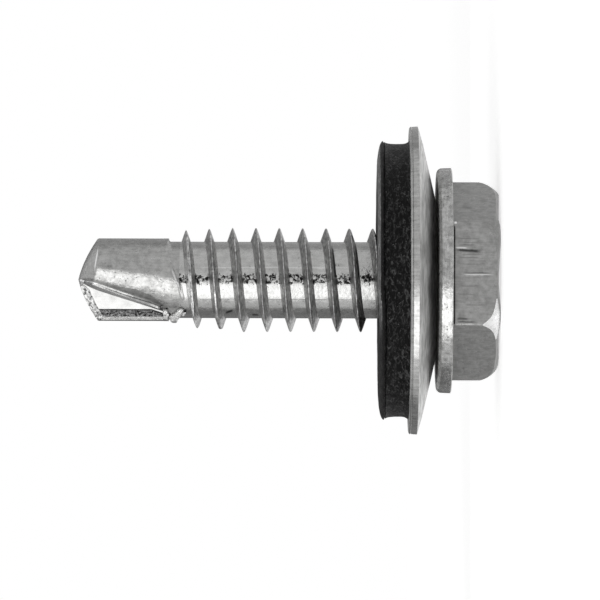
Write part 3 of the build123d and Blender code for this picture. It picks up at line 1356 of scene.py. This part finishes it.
    def rake_height(self, x: float, level: float, foot: float, seed: float) -> float:
        """How far the rake face stands out from the axis plane.

        Args:
            x: distance from the axis along the face.
            level: height.
            foot: where the face meets the flute's wall.
            seed: shifts the torn texture of the lands.

        Returns:
            The height of the face at that point.
        """
        rake = self.half_web - tan(radians(self.rake_tilt)) * (x - self.rake_pivot)
        land, margin_edge = self.land_edge(foot), self.margin_edge
        lip = 1 - smooth_step(0.8, 1.05, self.under_cone(x, level) / self.lip_width(x))
        margin = smooth_step(land - 0.01, land + 0.045, x)
        height = rake - self.lip_land_drop * lip
        low = self.half_web - self.land_drop
        if x > margin_edge:
            low -= 0.6 * (x - margin_edge) + 3 * max(0.0, x - self.drill_radius + 0.05)
        height += (low - height) * margin
        torn = rough(Vector((x, seed, level)), self.land_texture)
        inside = 1 - smooth_step(margin_edge - 0.05, margin_edge + 0.02, x)
        return height + torn * max(lip, margin * inside)

    def flute_cutter(self, flip: bool) -> Mesh:
        """The space that one flute takes out of the drill body.

        Args:
            flip: true for the second flute, half a turn round.

        Returns:
            A closed mesh.
        """
        far = self.drill_radius + 0.5
        seed = 7.0 if flip else 0.0
        rings: list[Ring] = []
        # Rows from the flute's foot to past the point's cone, close together beside the cone
        for v in [*spread(0.0, 0.93, 64), *spread(0.93, 1.015, 22), 1.04, 1.12]:

            def level_at(radius: float) -> float:
                """Height of this row over a distance from the axis."""
                top = self.point_level(min(radius, far), self.drill_radius)
                return self.flute_level + v * (top - self.flute_level)

            # Rake face, from the wall's foot outwards
            foot = self.flute_wall(level_at(self.flute_wall(self.tip_level)))
            for _ in range(4):
                foot = self.flute_wall(level_at(hypot(foot, self.half_web)))
            # Columns are close together at the step down to the land and at the margin
            land = self.land_edge(foot) - 0.015
            ledge, margin = land + 0.07, max(self.margin_edge, land + 0.1)
            apron = margin + 0.25
            stops = [*spread(foot, land, 24), *spread(land, ledge, 5), *spread(ledge, margin, 10)]
            stops += [*spread(margin, apron, 10), *spread(apron, far, 3), far]
            ring: Ring = []
            for x in stops:
                level = level_at(hypot(x, self.half_web))
                ring.append(Vector((-x, -self.rake_height(x, level, foot, seed), level)))
            # Round the outside, then the wall back to its foot
            ring.append(Vector((-far, -far, level_at(far))))
            base = self.rake_height(foot, level_at(foot), foot, seed)
            buried = (1 - v) * (level_at(1.0) - self.flute_level) * self.point_sine
            rings.append(ring + self.wall_row(foot, base, buried, level_at))
        if flip:
            rings = [[Vector((-p.x, -p.y, p.z)) for p in ring] for ring in rings]
        ends = [sum(ring, Vector()) / len(ring) for ring in (rings[0], rings[-1])]
        return loft("flute", rings, *ends)

    # -- Assembly --

    def blank(self) -> Mesh:
        """The forged blank: head, flange, shank and drill body, before thread and flutes.

        Returns:
            A closed mesh.
        """
        angles = self.even_columns()
        profile = self.flange_and_core()
        shank = [[polar(radius, angle, level) for angle in angles] for radius, level in profile]
        rings = [*self.head_rings(), *shank, *self.drill_rings()]
        return loft("blank", rings, Vector((0, 0, 0)), Vector((0, 0, self.tip_level)))

    def flutes(self) -> Mesh:
        """Both flutes' cutters in one mesh.

        Returns:
            The mesh.
        """
        body = bmesh.new()
        for flip in (False, True):
            body.from_mesh(self.flute_cutter(flip))
        return take_mesh("flutes", body)

    def burr_lumps(self) -> Mesh:
        """Lumps of metal that the pinching left where the flute meets the thread.

        Returns:
            A mesh with one closed lump for each burr.
        """
        body = bmesh.new()
        for place, radius in self.burrs:
            centre = Vector(place)
            for vert in bmesh.ops.create_icosphere(body, subdivisions=4, radius=1.0)["verts"]:
                swell = 1.0
                for fineness, shift, height in self.burr_texture:
                    swell += height * noise.noise(vert.co * fineness + centre * shift)
                vert.co = centre + vert.co * radius * swell
        return take_mesh("burrs", body)

    def ridge_section(self) -> Curve:
        """Section of the thread's ridge.

        Returns:
            A closed curve: X runs outwards from the core, Y along the axis.
        """
        rise = self.thread_radius - self.core_radius
        lean = tan(radians(self.flank_angle / 2))
        crest = self.crest_width / 2
        side = [(-self.root_sink, crest + lean * rise + 0.02)]
        side += [
            (rise * h, crest * (1 - 0.6 * h**14) + lean * rise * (1 - h))
            for h in (0.0, 0.06, 0.15, 0.3, 0.45, 0.6, 0.75, 0.85, 0.93, 0.98)
        ]
        outline = [*side, (rise, 0.0), *((x, -y) for x, y in reversed(side))]
        curve = bpy.data.curves.new("ridge_section", "CURVE")
        spline = curve.splines.new("POLY")
        spline.points.add(len(outline) - 1)
        for point, (x, y) in zip(spline.points, outline):
            point.co = (x, y, 0, 1)
        spline.use_cyclic_u = True
        return curve

    def shaped(self, node: Node, table: Table) -> Node:
        """Sets a float curve to values given turn by turn along the thread.

        Args:
            node: the float curve's node.
            table: pairs of turn and value.

        Returns:
            The same node.
        """
        node.mapping.use_clip = False
        node.mapping.extend = "HORIZONTAL"
        line = node.mapping.curves[0]
        while len(line.points) < len(table):
            line.points.new(0.5, 0.5)
        for point, (turn, value) in zip(line.points, table):
            point.location = (turn / self.turns, value)
            point.handle_type = "AUTO_CLAMPED"
        node.mapping.update()
        return node

    def rolling_tree(self) -> NodeTree:
        """Geometry nodes that roll the thread onto the blank and pinch out the flutes.

        Returns:
            The tree, with a named input for each size.
        """
        tree = bpy.data.node_groups.new("roll_thread", "GeometryNodeTree")
        for kind, *names in (
            ("Geometry", "Blank"),
            ("Object", "Section", "Flutes", "Burrs"),
            ("Float", "Core Radius", "Thread Radius", "Pitch", "Turns", "Start Level"),
            ("Float", "Start Angle"),
            ("Int", "Steps per Turn"),
            ("Float", "Crest Unevenness", "Cleft Width", "Seed"),
            ("Material", "Material"),
        ):
            for name in names:
                tree.interface.new_socket(name, in_out="INPUT", socket_type=f"NodeSocket{kind}")
        tree.interface.new_socket("Screw", in_out="OUTPUT", socket_type="NodeSocketGeometry")
        add = partial(add_node, tree)
        given = add("NodeGroupInput").outputs
        core, crest = given["Core Radius"], given["Thread Radius"]

        # The helix, which carries each point's share of the way along it
        spiral = {"Resolution": given["Steps per Turn"], "Rotations": given["Turns"]}
        spiral |= {"Start Radius": core, "End Radius": core, "Reverse": True}
        height = (given["Pitch"], given["Turns"])
        spiral["Height"] = add(MATH, height, operation="MULTIPLY")
        helix = add("GeometryNodeCurveSpiral", spiral)
        upright = add("GeometryNodeSetCurveNormal", {"Curve": helix}, mode="Z_UP")
        along = add("GeometryNodeSplineParameter")
        remember = add("GeometryNodeCaptureAttribute", domain="POINT")
        remember.capture_items.new("FLOAT", "Along")
        connect(tree, remember, {"Geometry": upright, "Along": along})
        way = {"Value": remember.outputs["Along"]}

        # The ridge swept along it, whose section's points remember their place in the section
        section = add("GeometryNodeObjectInfo", {"Object": given["Section"]}).outputs["Geometry"]
        mark = add("GeometryNodeCaptureAttribute", domain="POINT")
        mark.capture_items.new("VECTOR", "Across")
        here = add("GeometryNodeInputPosition")
        connect(tree, mark, {"Geometry": section, "Across": here})
        size = self.shaped(add(CURVE, way), self.ridge_sizes)
        sweep = {"Curve": remember, "Profile Curve": mark, "Scale": size, "Fill Caps": True}
        ridge = add("GeometryNodeCurveToMesh", sweep)

        # Each point's share of the full ridge height, held under the crest's own height there
        place = add("GeometryNodeInputPosition")
        parts = add(SEPARATE, (place,)).outputs
        flat = add(COMBINE, {"X": parts["X"], "Y": parts["Y"]})
        radius = add(VECTOR_MATH, (flat,), operation="LENGTH")
        rise = {"Value": radius, "From Min": core, "From Max": crest}
        share = add(MAP_RANGE, rise, clamp=False)
        height = self.shaped(add(CURVE, way), self.crest_heights)
        cleft = self.shaped(add(CURVE, way), self.cleft_depths)
        held = add(MATH, (share, height, self.crest_blend), operation="SMOOTH_MIN")
        wander = {"W": given["Seed"], "Scale": self.wander_fineness, "Detail": 3.0}
        wander = add(NOISE, wander, noise_dimensions="4D")
        uneven = add(MAP_RANGE, {"Value": wander, "From Min": 0.3, "From Max": 0.7})
        lost = add(MATH, (uneven, given["Crest Unevenness"]), operation="MULTIPLY")
        worn = add(MATH, (lost, held), operation="MULTIPLY")
        kept = add(MATH, (held, worn), operation="SUBTRACT")

        # The rolled lips don't quite meet on the first turns, which leaves a cleft in the crest
        across = add(SEPARATE, (mark.outputs["Across"],)).outputs["Y"]
        aside = add(MATH, (across,), operation="ABSOLUTE")
        fall = {"Value": aside, "From Max": given["Cleft Width"], "To Min": 1.0, "To Max": 0.0}
        inside = add(MAP_RANGE, fall)
        sunk = add(MATH, (inside, cleft), operation="MULTIPLY")
        kept = add(MATH, (kept, sunk), operation="SUBTRACT")

        # Each point goes out or in to that share, and the whole ridge to its place on the blank
        rise = {"Value": kept, "To Min": core, "To Max": crest}
        new_radius = add(MAP_RANGE, rise, clamp=False)
        ratio = add(MATH, (new_radius, radius), operation="DIVIDE")
        drawn = add(VECTOR_MATH, {0: flat, "Scale": ratio}, operation="SCALE")
        level = add(COMBINE, {"Z": parts["Z"]})
        moved = add(VECTOR_MATH, (drawn, level), operation="ADD")
        rolled = add("GeometryNodeSetPosition", {"Geometry": ridge, "Position": moved})
        turn = add(COMBINE, {"Z": given["Start Angle"]})
        lift = add(COMBINE, {"Z": given["Start Level"]})
        seat = {"Geometry": rolled, "Translation": lift, "Rotation": turn}
        seated = add("GeometryNodeTransform", seat)

        # Blank, ridge and burrs become one, and the flutes are cut out of that
        threaded = add("GeometryNodeMeshBoolean", operation="UNION", solver="EXACT")
        burrs = add("GeometryNodeObjectInfo", {"Object": given["Burrs"]}).outputs["Geometry"]
        for part in (given["Blank"], seated, burrs):
            connect(tree, threaded, {"Mesh 2": part})
        flutes = add("GeometryNodeObjectInfo", {"Object": given["Flutes"]}).outputs["Geometry"]
        cut = {"Mesh 1": threaded, "Mesh 2": flutes}
        pinched = add("GeometryNodeMeshBoolean", cut, operation="DIFFERENCE", solver="EXACT")
        real = add("GeometryNodeRealizeInstances", {"Geometry": pinched})
        finish = {"Geometry": real, "Material": given["Material"]}
        add("NodeGroupOutput", {"Screw": add("GeometryNodeSetMaterial", finish)})
        return tree

    def zone_at(self, centre: Vector, normal: Vector) -> Zone:
        """Tells which tool left a face, and which faces get painted light or shade.

        Args:
            centre: the face's middle.
            normal: the face's outward direction.

        Returns:
            The face's zone.
        """
        radius = hypot(centre.x, centre.y)
        if centre.z < self.seat_level + 0.3:
            return self.head_zone(centre, normal, radius)
        if centre.z > self.flute_level - 0.01:
            for side in (1, -1):
                turned = Vector((-side * centre.x, -side * centre.y, centre.z))
                zone = self.flute_zone(turned, -side * normal.y, normal.z)
                if zone:
                    return zone
        body = self.core_radius
        if centre.z > self.shank_top:
            body = self.body_radius(-atan2(centre.y, centre.x), centre.z)
        rise = (radius - body) / (self.thread_radius - self.core_radius)
        if rise > 0.05 and centre.z < self.drill_level + 0.2:
            return self.thread_zone(centre, normal, rise)
        return Zone.POINT if centre.z > self.point_finish_level else Zone.CORE

    def thread_zone(self, centre: Vector, normal: Vector, rise: float) -> Zone:
        """Tells which tool left a face of the thread, and which faces get painted shade and
        highlight.

        Args:
            centre: the face's middle.
            normal: the face's outward direction.
            rise: its height over the core, as a share of the full ridge's.

        Returns:
            The face's zone.
        """
        turn = (centre.z - self.seat_level - self.first_full_crest) / self.pitch
        turn += self.turns_below
        crest = min(table_value(self.crest_heights, turn), table_value(self.ridge_sizes, turn))
        rubbed_and_highlit = turn > self.rubbed_and_highlit_turn and normal.z > -0.35
        if centre.z > self.burr_level:
            return Zone.BURR
        # Painted highlight with rubbed wear on the last turns, on the side towards -X
        if rubbed_and_highlit and centre.x < self.rubbed_and_highlit_side:
            return Zone.CORNER
        # Painted shade on the lower roots of the turns nearest the washer, on the side facing -Y
        low, high = self.painted_shade_root_sides
        near = centre.z < self.painted_shade_root_level and centre.y < 0 and low < centre.x < high
        if near and rise < 0.42 and normal.z < -0.3:
            return Zone.EDGE
        return Zone.CREST if rubbed_and_highlit or rise > crest - 0.16 else Zone.FLANK

    def head_zone(self, centre: Vector, normal: Vector, radius: float) -> Zone:
        """Tells which tool left a face of the head, and which faces get painted shade and
        highlight.

        Args:
            centre: the face's middle.
            normal: the face's outward direction.
            radius: its distance from the axis.

        Returns:
            The face's zone.
        """
        if centre.z > self.hex_height - 0.02 and radius > self.corner_radius + 0.05:
            return Zone.FLANGE
        heading = degrees(atan2(centre.y, centre.x)) - self.hex_turn
        # Painted shade in the gap at the foot, on the near face only
        if abs(centre.z - self.hex_height + 0.06) < 0.055 and radius < self.corner_radius:
            return Zone.PAINTED_SHADE_GAP if abs(heading + 90) < 30 else Zone.HEAD
        # Painted highlight on the crown of one corner
        crown = normal.z < -0.12 and radius > self.apothem + 0.03 and centre.z < 1.2
        return Zone.CORNER if crown and abs(heading + 120) < 14 else Zone.HEAD

    def flute_zone(self, centre: Vector, toward: float, upward: float) -> Zone | None:
        """Tells which tool left a face inside a flute, and which faces get painted light or shade.

        Args:
            centre: the face's middle, with X along the rake face and Y out of it.
            toward: how far the face looks out of the flute.
            upward: how far it looks towards the tip.

        Returns:
            The face's zone, or nothing where it lies outside the flute.
        """
        x, out, level = centre
        radius, half = hypot(x, out), self.half_web
        if x < -self.drill_radius * 0.2 or out < -0.2:
            return None
        surface = self.body_radius(atan2(out, -x), level)
        buried = self.under_cone(radius, level)
        # The rounded edge over the wall: painted highlight where it meets the wall near the cone,
        # painted shade on the rest
        size = table_value(self.flute_edge_sizes, level)
        behind = self.flute_wall(level) - self.draft_at(level) * (out - half - 0.1) - x
        arc = self.flute_shelf_widths[-1][1] + 0.95 * size
        if -0.02 < behind < arc and out > half + 0.02:
            if buried < 0.62 * size:
                return Zone.CORNER if behind < 0.11 else Zone.PAINTED_SHADE_RIM
            # Painted shade along the rounded edge where it looks partly out of the flute
            if 0.45 <= toward < 0.9 and radius > 0.8 * surface:
                return Zone.PAINTED_SHADE_RIM
        cone = self.point_level(radius, self.drill_radius)
        if radius > surface - 0.035 or level > cone - 0.02 and upward > 0.3:
            return None
        # The wall, then the rake face with its two lands
        land = self.land_edge(self.flute_wall(level))
        # Painted shade: the wall is darker than the rake face, with a dark line at its foot
        if toward < 0.45:
            return Zone.EDGE if x > land - 0.03 and out < half + 0.02 else Zone.WALL
        if out > half + 0.3:
            return None
        if self.under_cone(x, level) < self.lip_width(x):
            return Zone.LIP
        if x >= self.margin_edge:
            return Zone.POINT
        # Painted shade: a dark line at the step down to the land
        if land - 0.01 < x < land + 0.055:
            return Zone.EDGE
        # Painted shade on the torn land beside the margin
        return Zone.TORN_LAND_AND_PAINTED_SHADE if x > land else Zone.RAKE

    def build(self) -> list[Object]:
        """Builds and dresses the whole screw.

        Returns:
            The one finished piece.
        """
        finishes = {zone: zone.value.build() for zone in Zone}
        piece = link_object("screw_body", self.blank())
        helpers = {
            "Section": link_object("ridge_section", self.ridge_section()),
            "Flutes": link_object("flutes", self.flutes()),
            "Burrs": link_object("burrs", self.burr_lumps()),
        }
        tree = self.rolling_tree()
        rolling = piece.modifiers.new("roll_thread", "NODES")
        rolling.node_group = tree
        start = self.seat_level + self.first_full_crest - self.turns_below * self.pitch
        values = {
            **helpers,
            "Core Radius": self.core_radius,
            "Thread Radius": self.thread_radius,
            "Pitch": self.pitch,
            "Turns": self.turns,
            "Start Level": start,
            "Start Angle": radians(360 * (1 - self.turns_below)),
            "Steps per Turn": self.columns // 2,
            "Crest Unevenness": self.crest_unevenness,
            "Cleft Width": self.cleft_width,
            "Seed": 3.0,
            "Material": finishes[Zone.HEAD],
        }
        for item in tree.interface.items_tree:
            if item.item_type == "SOCKET" and item.name in values:
                rolling[item.identifier] = values[item.name]
        graph = bpy.context.evaluated_depsgraph_get()
        mesh = bpy.data.meshes.new_from_object(piece.evaluated_get(graph), depsgraph=graph)
        piece.modifiers.remove(rolling)
        piece.data = in_fixed_order(mesh)
        for helper in helpers.values():
            bpy.data.objects.remove(helper)
        dress(piece, finishes, self.zone_at, self.crease)
        hand_over(piece, "screw", Slot.SCREW, "screw")
        return [piece]


# ---- The sealing washer ----


class SheetFinish(Enum):
    """The surfaces of the washer's steel."""

    # Sheet pressed in a die: a pale satin with fine rings round the axis
    PRESSED = ZincPlatedSteel(
        "pressed_sheet", pale="DCDCDB", dull="A0A09F", grain=Grain.TURNED, grain_size=0.13,
        grain_depth=0.008, polish=0.46, dent_size=1.1, stain=0.7, streak=0.75,
    )
    # Its blanked edge: darker, with short lines through the sheet
    SHEARED = ZincPlatedSteel(
        "sheared_rim", pale="ACACAB", dull="888887", grain=Grain.SHEARED, grain_size=0.12,
        grain_depth=0.003, polish=0.29, stain=0.3, dent_size=0.2, dent_depth=0.004, streak=0.5,
    )


class RubberFinish(Enum):
    """The surfaces of the washer's rubber."""

    # As it left the mould: black and felt-like
    MOULDED = MouldedRubber()
    # The face that is pressed on the sheet metal, with a pale painted sheen on part of it
    PAINTED_SHEEN = MouldedRubber("painted_sheen_epdm", body="020202", bloom="343434", has_painted_sheen=True)
    # The shoulder beside that face: smoother and blacker
    PRESSED = MouldedRubber("pressed_epdm", body="020202", bloom="343434")


@dataclass
class SealingWasher:
    """A dished steel washer with a rubber ring vulcanised under it."""

    seat_level: float = 2.84
    sheet: float = 0.6
    bore_radius: float = 2.515
    seat_radius: float = 3.5
    outer_radius: float = 7.0
    dish_angle: float = 13.0
    rim_cone_width: float = 0.78
    rim_cone_angle: float = 16.2
    rim_height: float = 0.39
    rim_radius: float = 0.11
    rim_finish_width: float = 0.07
    edge_break: float = 0.03
    seal_bore: float = 2.08
    seal_top_radius: float = 6.33
    seal_lip_radius: float = 6.345
    seal_waist: float = 0.13
    lip_groove: float = 0.05
    lip_groove_place: float = 0.965  # share of the way down the side
    lip_groove_width: float = 0.022
    lip_sag: float = 0.075
    seal_thickness: float = 1.51
    shoulder_drop: float = 0.26
    shoulder_width: float = 1.35
    mouth_radius: float = 2.545
    mouth_depth: float = 0.5
    mouth_break: float = 0.06
    face_finish_radius: float = 3.6  # the face is pressed from here outwards
    face_finish_depth: float = 0.6
    lumps: float = 0.035
    lump_layers: Table = ((1.3, 0.5), (4.5, 0.3))
    lump_mean: float = 0.35
    sink: float = 0.045  # how far the face stays inside the CAD solid

    # Mesh
    steel_grid: float = 0.22
    rubber_grid: float = 0.16
    steel_crease: float = 22
    rubber_crease: float = 40
    steps: int = 288

    def __post_init__(self) -> None:
        """Works out the levels and radii that follow from the sizes."""
        dish = tan(radians(self.dish_angle))
        slant = self.sheet / cos(radians(self.dish_angle))
        self.cone_radius = self.outer_radius - self.rim_cone_width
        self.cone_level = self.seat_level + (self.cone_radius - self.seat_radius) * dish
        self.rim_top = self.cone_level + self.rim_cone_width * tan(radians(self.rim_cone_angle))
        self.rim_level = self.rim_top + self.rim_height
        self.under_radius = self.seat_radius + (self.rim_level - self.seat_level - slant) / dish
        self.inner_radius = self.seat_radius - (slant - self.sheet) / dish
        self.inner_level = self.seat_level + self.sheet
        self.face_level = self.rim_level + self.seal_thickness

    def steel_profile(self) -> list[Pair]:
        """The steel's section.

        Returns:
            Its points, as radius and level.
        """
        outer, bore, edge = self.outer_radius, self.bore_radius, self.edge_break
        r, top, under = self.rim_radius, self.rim_top, self.rim_level
        points = [
            (bore + edge, self.seat_level),
            (self.seat_radius, self.seat_level),
            (self.cone_radius, self.cone_level),
            (outer - 0.03, top - 0.009),
            (outer, top + 0.01),
            (outer - 0.02, under - r - 0.03),
            (outer - 0.04, under - r),
            (outer - 0.02, under - r + 0.02),
            *corner((outer - r - 0.01, under - r), r, 14, 90, 5),
            (self.under_radius, under),
            (self.inner_radius, self.inner_level),
            (bore + edge, self.inner_level),
            (bore, self.inner_level - edge),
            (bore, self.seat_level + edge),
        ]
        return divided(points, self.steel_grid)

    def seal_profile(self) -> list[Pair]:
        """The rubber's section.

        Returns:
            Its points, as radius and level.
        """
        lip_level = self.face_level - self.shoulder_drop
        points = [
            (self.seal_bore, self.inner_level),
            (self.inner_radius, self.inner_level),
            (self.under_radius, self.rim_level),
        ]
        for t in [*spread(0.0, 0.93, 14), 0.943, self.lip_groove_place, 0.987, 1.0]:
            radius = self.seal_top_radius + (self.seal_lip_radius - self.seal_top_radius) * t
            radius -= self.seal_waist * (1 - (2 * t - 1) ** 4)
            from_groove = abs(t - self.lip_groove_place) / self.lip_groove_width
            radius -= self.lip_groove * max(0.0, 1 - from_groove)
            points.append((radius, self.rim_level + (lip_level - self.rim_level) * t))
        shoulder_steps = 12
        for i in range(1, shoulder_steps + 1):
            lean = i / shoulder_steps * pi / 2
            radius = self.seal_lip_radius - self.shoulder_width * (1 - cos(lean))
            points.append((radius, lip_level + self.shoulder_drop * sin(lean)))
        points += [
            (self.mouth_radius + self.mouth_break, self.face_level),
            (self.mouth_radius, self.face_level - self.mouth_break),
            (self.seal_bore, self.face_level - self.mouth_depth),
        ]
        return divided(points, self.rubber_grid)

    def moulded(self, point: Vector) -> Vector:
        """Makes the rubber's outside a little lumpy and sunken, away from the steel and the neck.

        Args:
            point: a point of the true turned shape.

        Returns:
            Where it goes.
        """
        radius = hypot(point.x, point.y)
        free = smooth_step(2.3, 2.8, radius) * smooth_step(
            self.rim_level + 0.02, self.rim_level + 0.2, point.z
        )
        if free <= 0:
            return point
        lump = rough(point, self.lump_layers) - self.lump_mean
        inward = Vector((point.x / radius, point.y / radius, 0.5)) * self.lumps * lump * free
        low = smooth_step(self.rim_level + 0.3, self.face_level - 0.3, point.z)
        sunk = self.sink + self.lip_sag * smooth_step(0.0, 1.6, -point.x)
        return point + inward - Vector((0, 0, sunk * low))

    def steel_finish(self, centre: Vector, _normal: Vector) -> SheetFinish:
        """Tells which of the steel's finishes a face has, from its middle."""
        edge = hypot(centre.x, centre.y) > self.outer_radius - self.rim_finish_width
        return SheetFinish.SHEARED if edge else SheetFinish.PRESSED

    def rubber_finish(self, centre: Vector, normal: Vector) -> RubberFinish:
        """Tells which of the rubber's finishes a face has.

        Args:
            centre: the face's middle.
            normal: the face's outward direction.

        Returns:
            The finish.
        """
        inside = hypot(centre.x, centre.y) < self.face_finish_radius
        if inside or centre.z < self.face_level - self.face_finish_depth or normal.z < 0.25:
            return RubberFinish.MOULDED
        return RubberFinish.PAINTED_SHEEN if normal.z > 0.95 else RubberFinish.PRESSED

    def build(self) -> list[Object]:
        """Builds and dresses both pieces.

        Returns:
            The pieces.
        """
        finishes = {finish: finish.value.build() for finish in SheetFinish}
        mesh = lathe("sealing_washer_steel", self.steel_profile(), self.steps)
        steel = link_object("sealing_washer_steel", mesh)
        dress(steel, finishes, self.steel_finish, self.steel_crease)
        hand_over(steel, "steel_washer", Slot.WASHER, "sealing_washer")

        finishes = {finish: finish.value.build() for finish in RubberFinish}
        mesh = lathe("sealing_washer_rubber", self.seal_profile(), self.steps, self.moulded)
        rubber = link_object("sealing_washer_rubber", mesh)
        dress(rubber, finishes, self.rubber_finish, self.rubber_crease)
        hand_over(rubber, "rubber_seal", Slot.RUBBER, "sealing_washer")
        return [steel, rubber]


# ---- Studio ----


@dataclass
class Studio:
    """A pale floor, one large softbox beside the camera and a white surround.

    Each card is given by its direction from the camera's, in degrees towards -X, the angle that
    it fills and how bright it is.
    """

    camera_distance: float = 227.3
    camera_level: float = 7.75
    aim_level: float = 9.02
    aim_side: float = -0.9
    focal_length: float = 300.0
    roll: float = 0.17
    floor_radius: float = 260.0
    floor_glow: float = 0.58
    surround: float = 0.42
    softbox_distance: float = 420.0
    softbox_angle: float = 34.5
    softbox_width: float = 385.0
    softbox_height: float = 470.0
    softbox_power: float = 1.4
    cards: tuple[tuple[float, float, float], ...] = (
        (121.0, 58.0, 0.32), (-132.0, 55.0, 0.58), (175.0, 50.0, 0.2)
    )
    card_distance: float = 45.0
    card_height: float = 50.0

    def camera(self) -> None:
        """Camera level with the screw, turned on its side so that the point is at the left."""
        data = bpy.data.cameras.new("camera")
        data.lens = self.focal_length
        data.sensor_width = 36.0
        data.clip_start, data.clip_end = 0.01, 10.0
        piece = link_object("camera", data)
        where = Vector((self.aim_side, -self.camera_distance, self.camera_level)) * MM
        target = Vector((self.aim_side, 0, self.aim_level)) * MM
        back = (where - target).normalized()
        right = Vector((0, 0, -1))
        right = (right - back * right.dot(back)).normalized()
        up = back.cross(right)
        turned = Matrix.Rotation(radians(self.roll), 3, back)
        axes = (turned @ right, turned @ up, back, where)
        rows = [[axis[i] for axis in axes] for i in range(3)]
        piece.matrix_world = Matrix((*rows, (0, 0, 0, 1)))
        bpy.context.scene.camera = piece

    def seen_directly(self, tree: NodeTree) -> Node:
        """Tells the rays that see a thing itself from those of the light that it sends out.

        Args:
            tree: the tree that gets the nodes.

        Returns:
            The node that gives one for camera, glossy and transmission rays, and zero otherwise.
        """
        path = add_node(tree, "ShaderNodeLightPath").outputs
        seen = path["Is Camera Ray"]
        for ray in ("Is Glossy Ray", "Is Transmission Ray"):
            seen = add_node(tree, MATH, (seen, path[ray]), operation="MAXIMUM")
        return seen

    def world(self) -> None:
        """White wherever it is seen, and a plain level of light for everything else."""
        world = bpy.data.worlds.new("surround")
        world.use_nodes = True
        tree = world.node_tree
        levels = {"Value": self.seen_directly(tree), "To Min": self.surround, "To Max": 1.0}
        strength = add_node(tree, MAP_RANGE, levels)
        ground = {"Color": linear("FFFFFF"), "Strength": strength}
        connect(tree, tree.nodes["Background"], ground)
        bpy.context.scene.world = world

    def floor(self) -> None:
        """A round pale floor under the head."""
        disc = bmesh.new()
        bmesh.ops.create_circle(disc, cap_ends=True, segments=96, radius=self.floor_radius * MM)
        piece = link_object("floor", take_mesh("floor", disc))
        # Matt white card: an even pale grey that keeps the shadow
        material, tree, shader = new_material("pale_card")
        levels = {"Value": self.seen_directly(tree), "To Min": 0.0, "To Max": self.floor_glow}
        glow = add_node(tree, MAP_RANGE, levels)
        matt = {"Base Color": linear("F4F4F4"), "Roughness": 0.9, "Specular IOR Level": 0.1}
        light = {"Emission Color": linear("FFFFFF"), "Emission Strength": glow}
        connect(tree, shader, {**matt, **light})
        piece.data.materials.append(material)

    def softbox(self) -> None:
        """A tall softbox on the side of the camera that the cutting lips face."""
        data = bpy.data.lights.new("softbox", "AREA")
        data.shape = "RECTANGLE"
        data.size = self.softbox_width * MM
        data.size_y = self.softbox_height * MM
        data.energy = self.softbox_power
        piece = link_object("softbox", data)
        turn = radians(self.softbox_angle)
        away = Vector((-sin(turn), -cos(turn), 0.0))
        piece.location = away * self.softbox_distance * MM + Vector((0, 0, self.aim_level * MM))
        piece.rotation_mode = "QUATERNION"
        piece.rotation_quaternion = away.to_track_quat("Z", "Y")
        piece.visible_camera = False

    def card(self, name: str, angle: float, width_angle: float, grey: float) -> None:
        """A grey card at one side, seen only in the metal, that shapes its rounds.

        Args:
            name: the card's name.
            angle: its direction from the camera's, in degrees towards -X.
            width_angle: the angle that it fills, seen from the screw.
            grey: how bright it is.
        """
        half = self.card_distance * tan(radians(width_angle / 2))
        turn = radians(angle)
        away = Vector((-sin(turn), -cos(turn), 0))
        side = Vector((cos(turn), -sin(turn), 0))
        tall = Vector((0, 0, self.card_height))
        points = [
            (away * self.card_distance + side * half * a + tall * b) * MM
            for a, b in ((-1, 0), (1, 0), (1, 1), (-1, 1))
        ]
        mesh = bpy.data.meshes.new(name)
        mesh.from_pydata(points, [], [(0, 1, 2, 3)])
        material, tree, shader = new_material(name)
        unlit = {"Base Color": linear("000000"), "Specular IOR Level": 0.0}
        light = {"Emission Color": linear("FFFFFF"), "Emission Strength": grey}
        connect(tree, shader, {**unlit, **light})
        mesh.materials.append(material)
        piece = link_object(name, mesh)
        piece.visible_camera = False
        piece.visible_diffuse = False

    def build(self) -> None:
        """Sets up the camera, the surround, the floor, the softbox and the cards."""
        self.camera()
        self.world()
        self.floor()
        self.softbox()
        for number, card in enumerate(self.cards, 1):
            self.card(f"grey_card_{number}", *card)
        bpy.context.scene.view_settings.view_transform = "Standard"


def main() -> None:
    """Loads the frame, builds the scene around it and reports each piece."""
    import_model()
    Studio().build()
    for assembly in (Screw(), SealingWasher()):
        for piece in assembly.build():
            log.info("%s: %d faces", piece.name, len(piece.data.polygons))


if __name__ == "__main__":
    main()
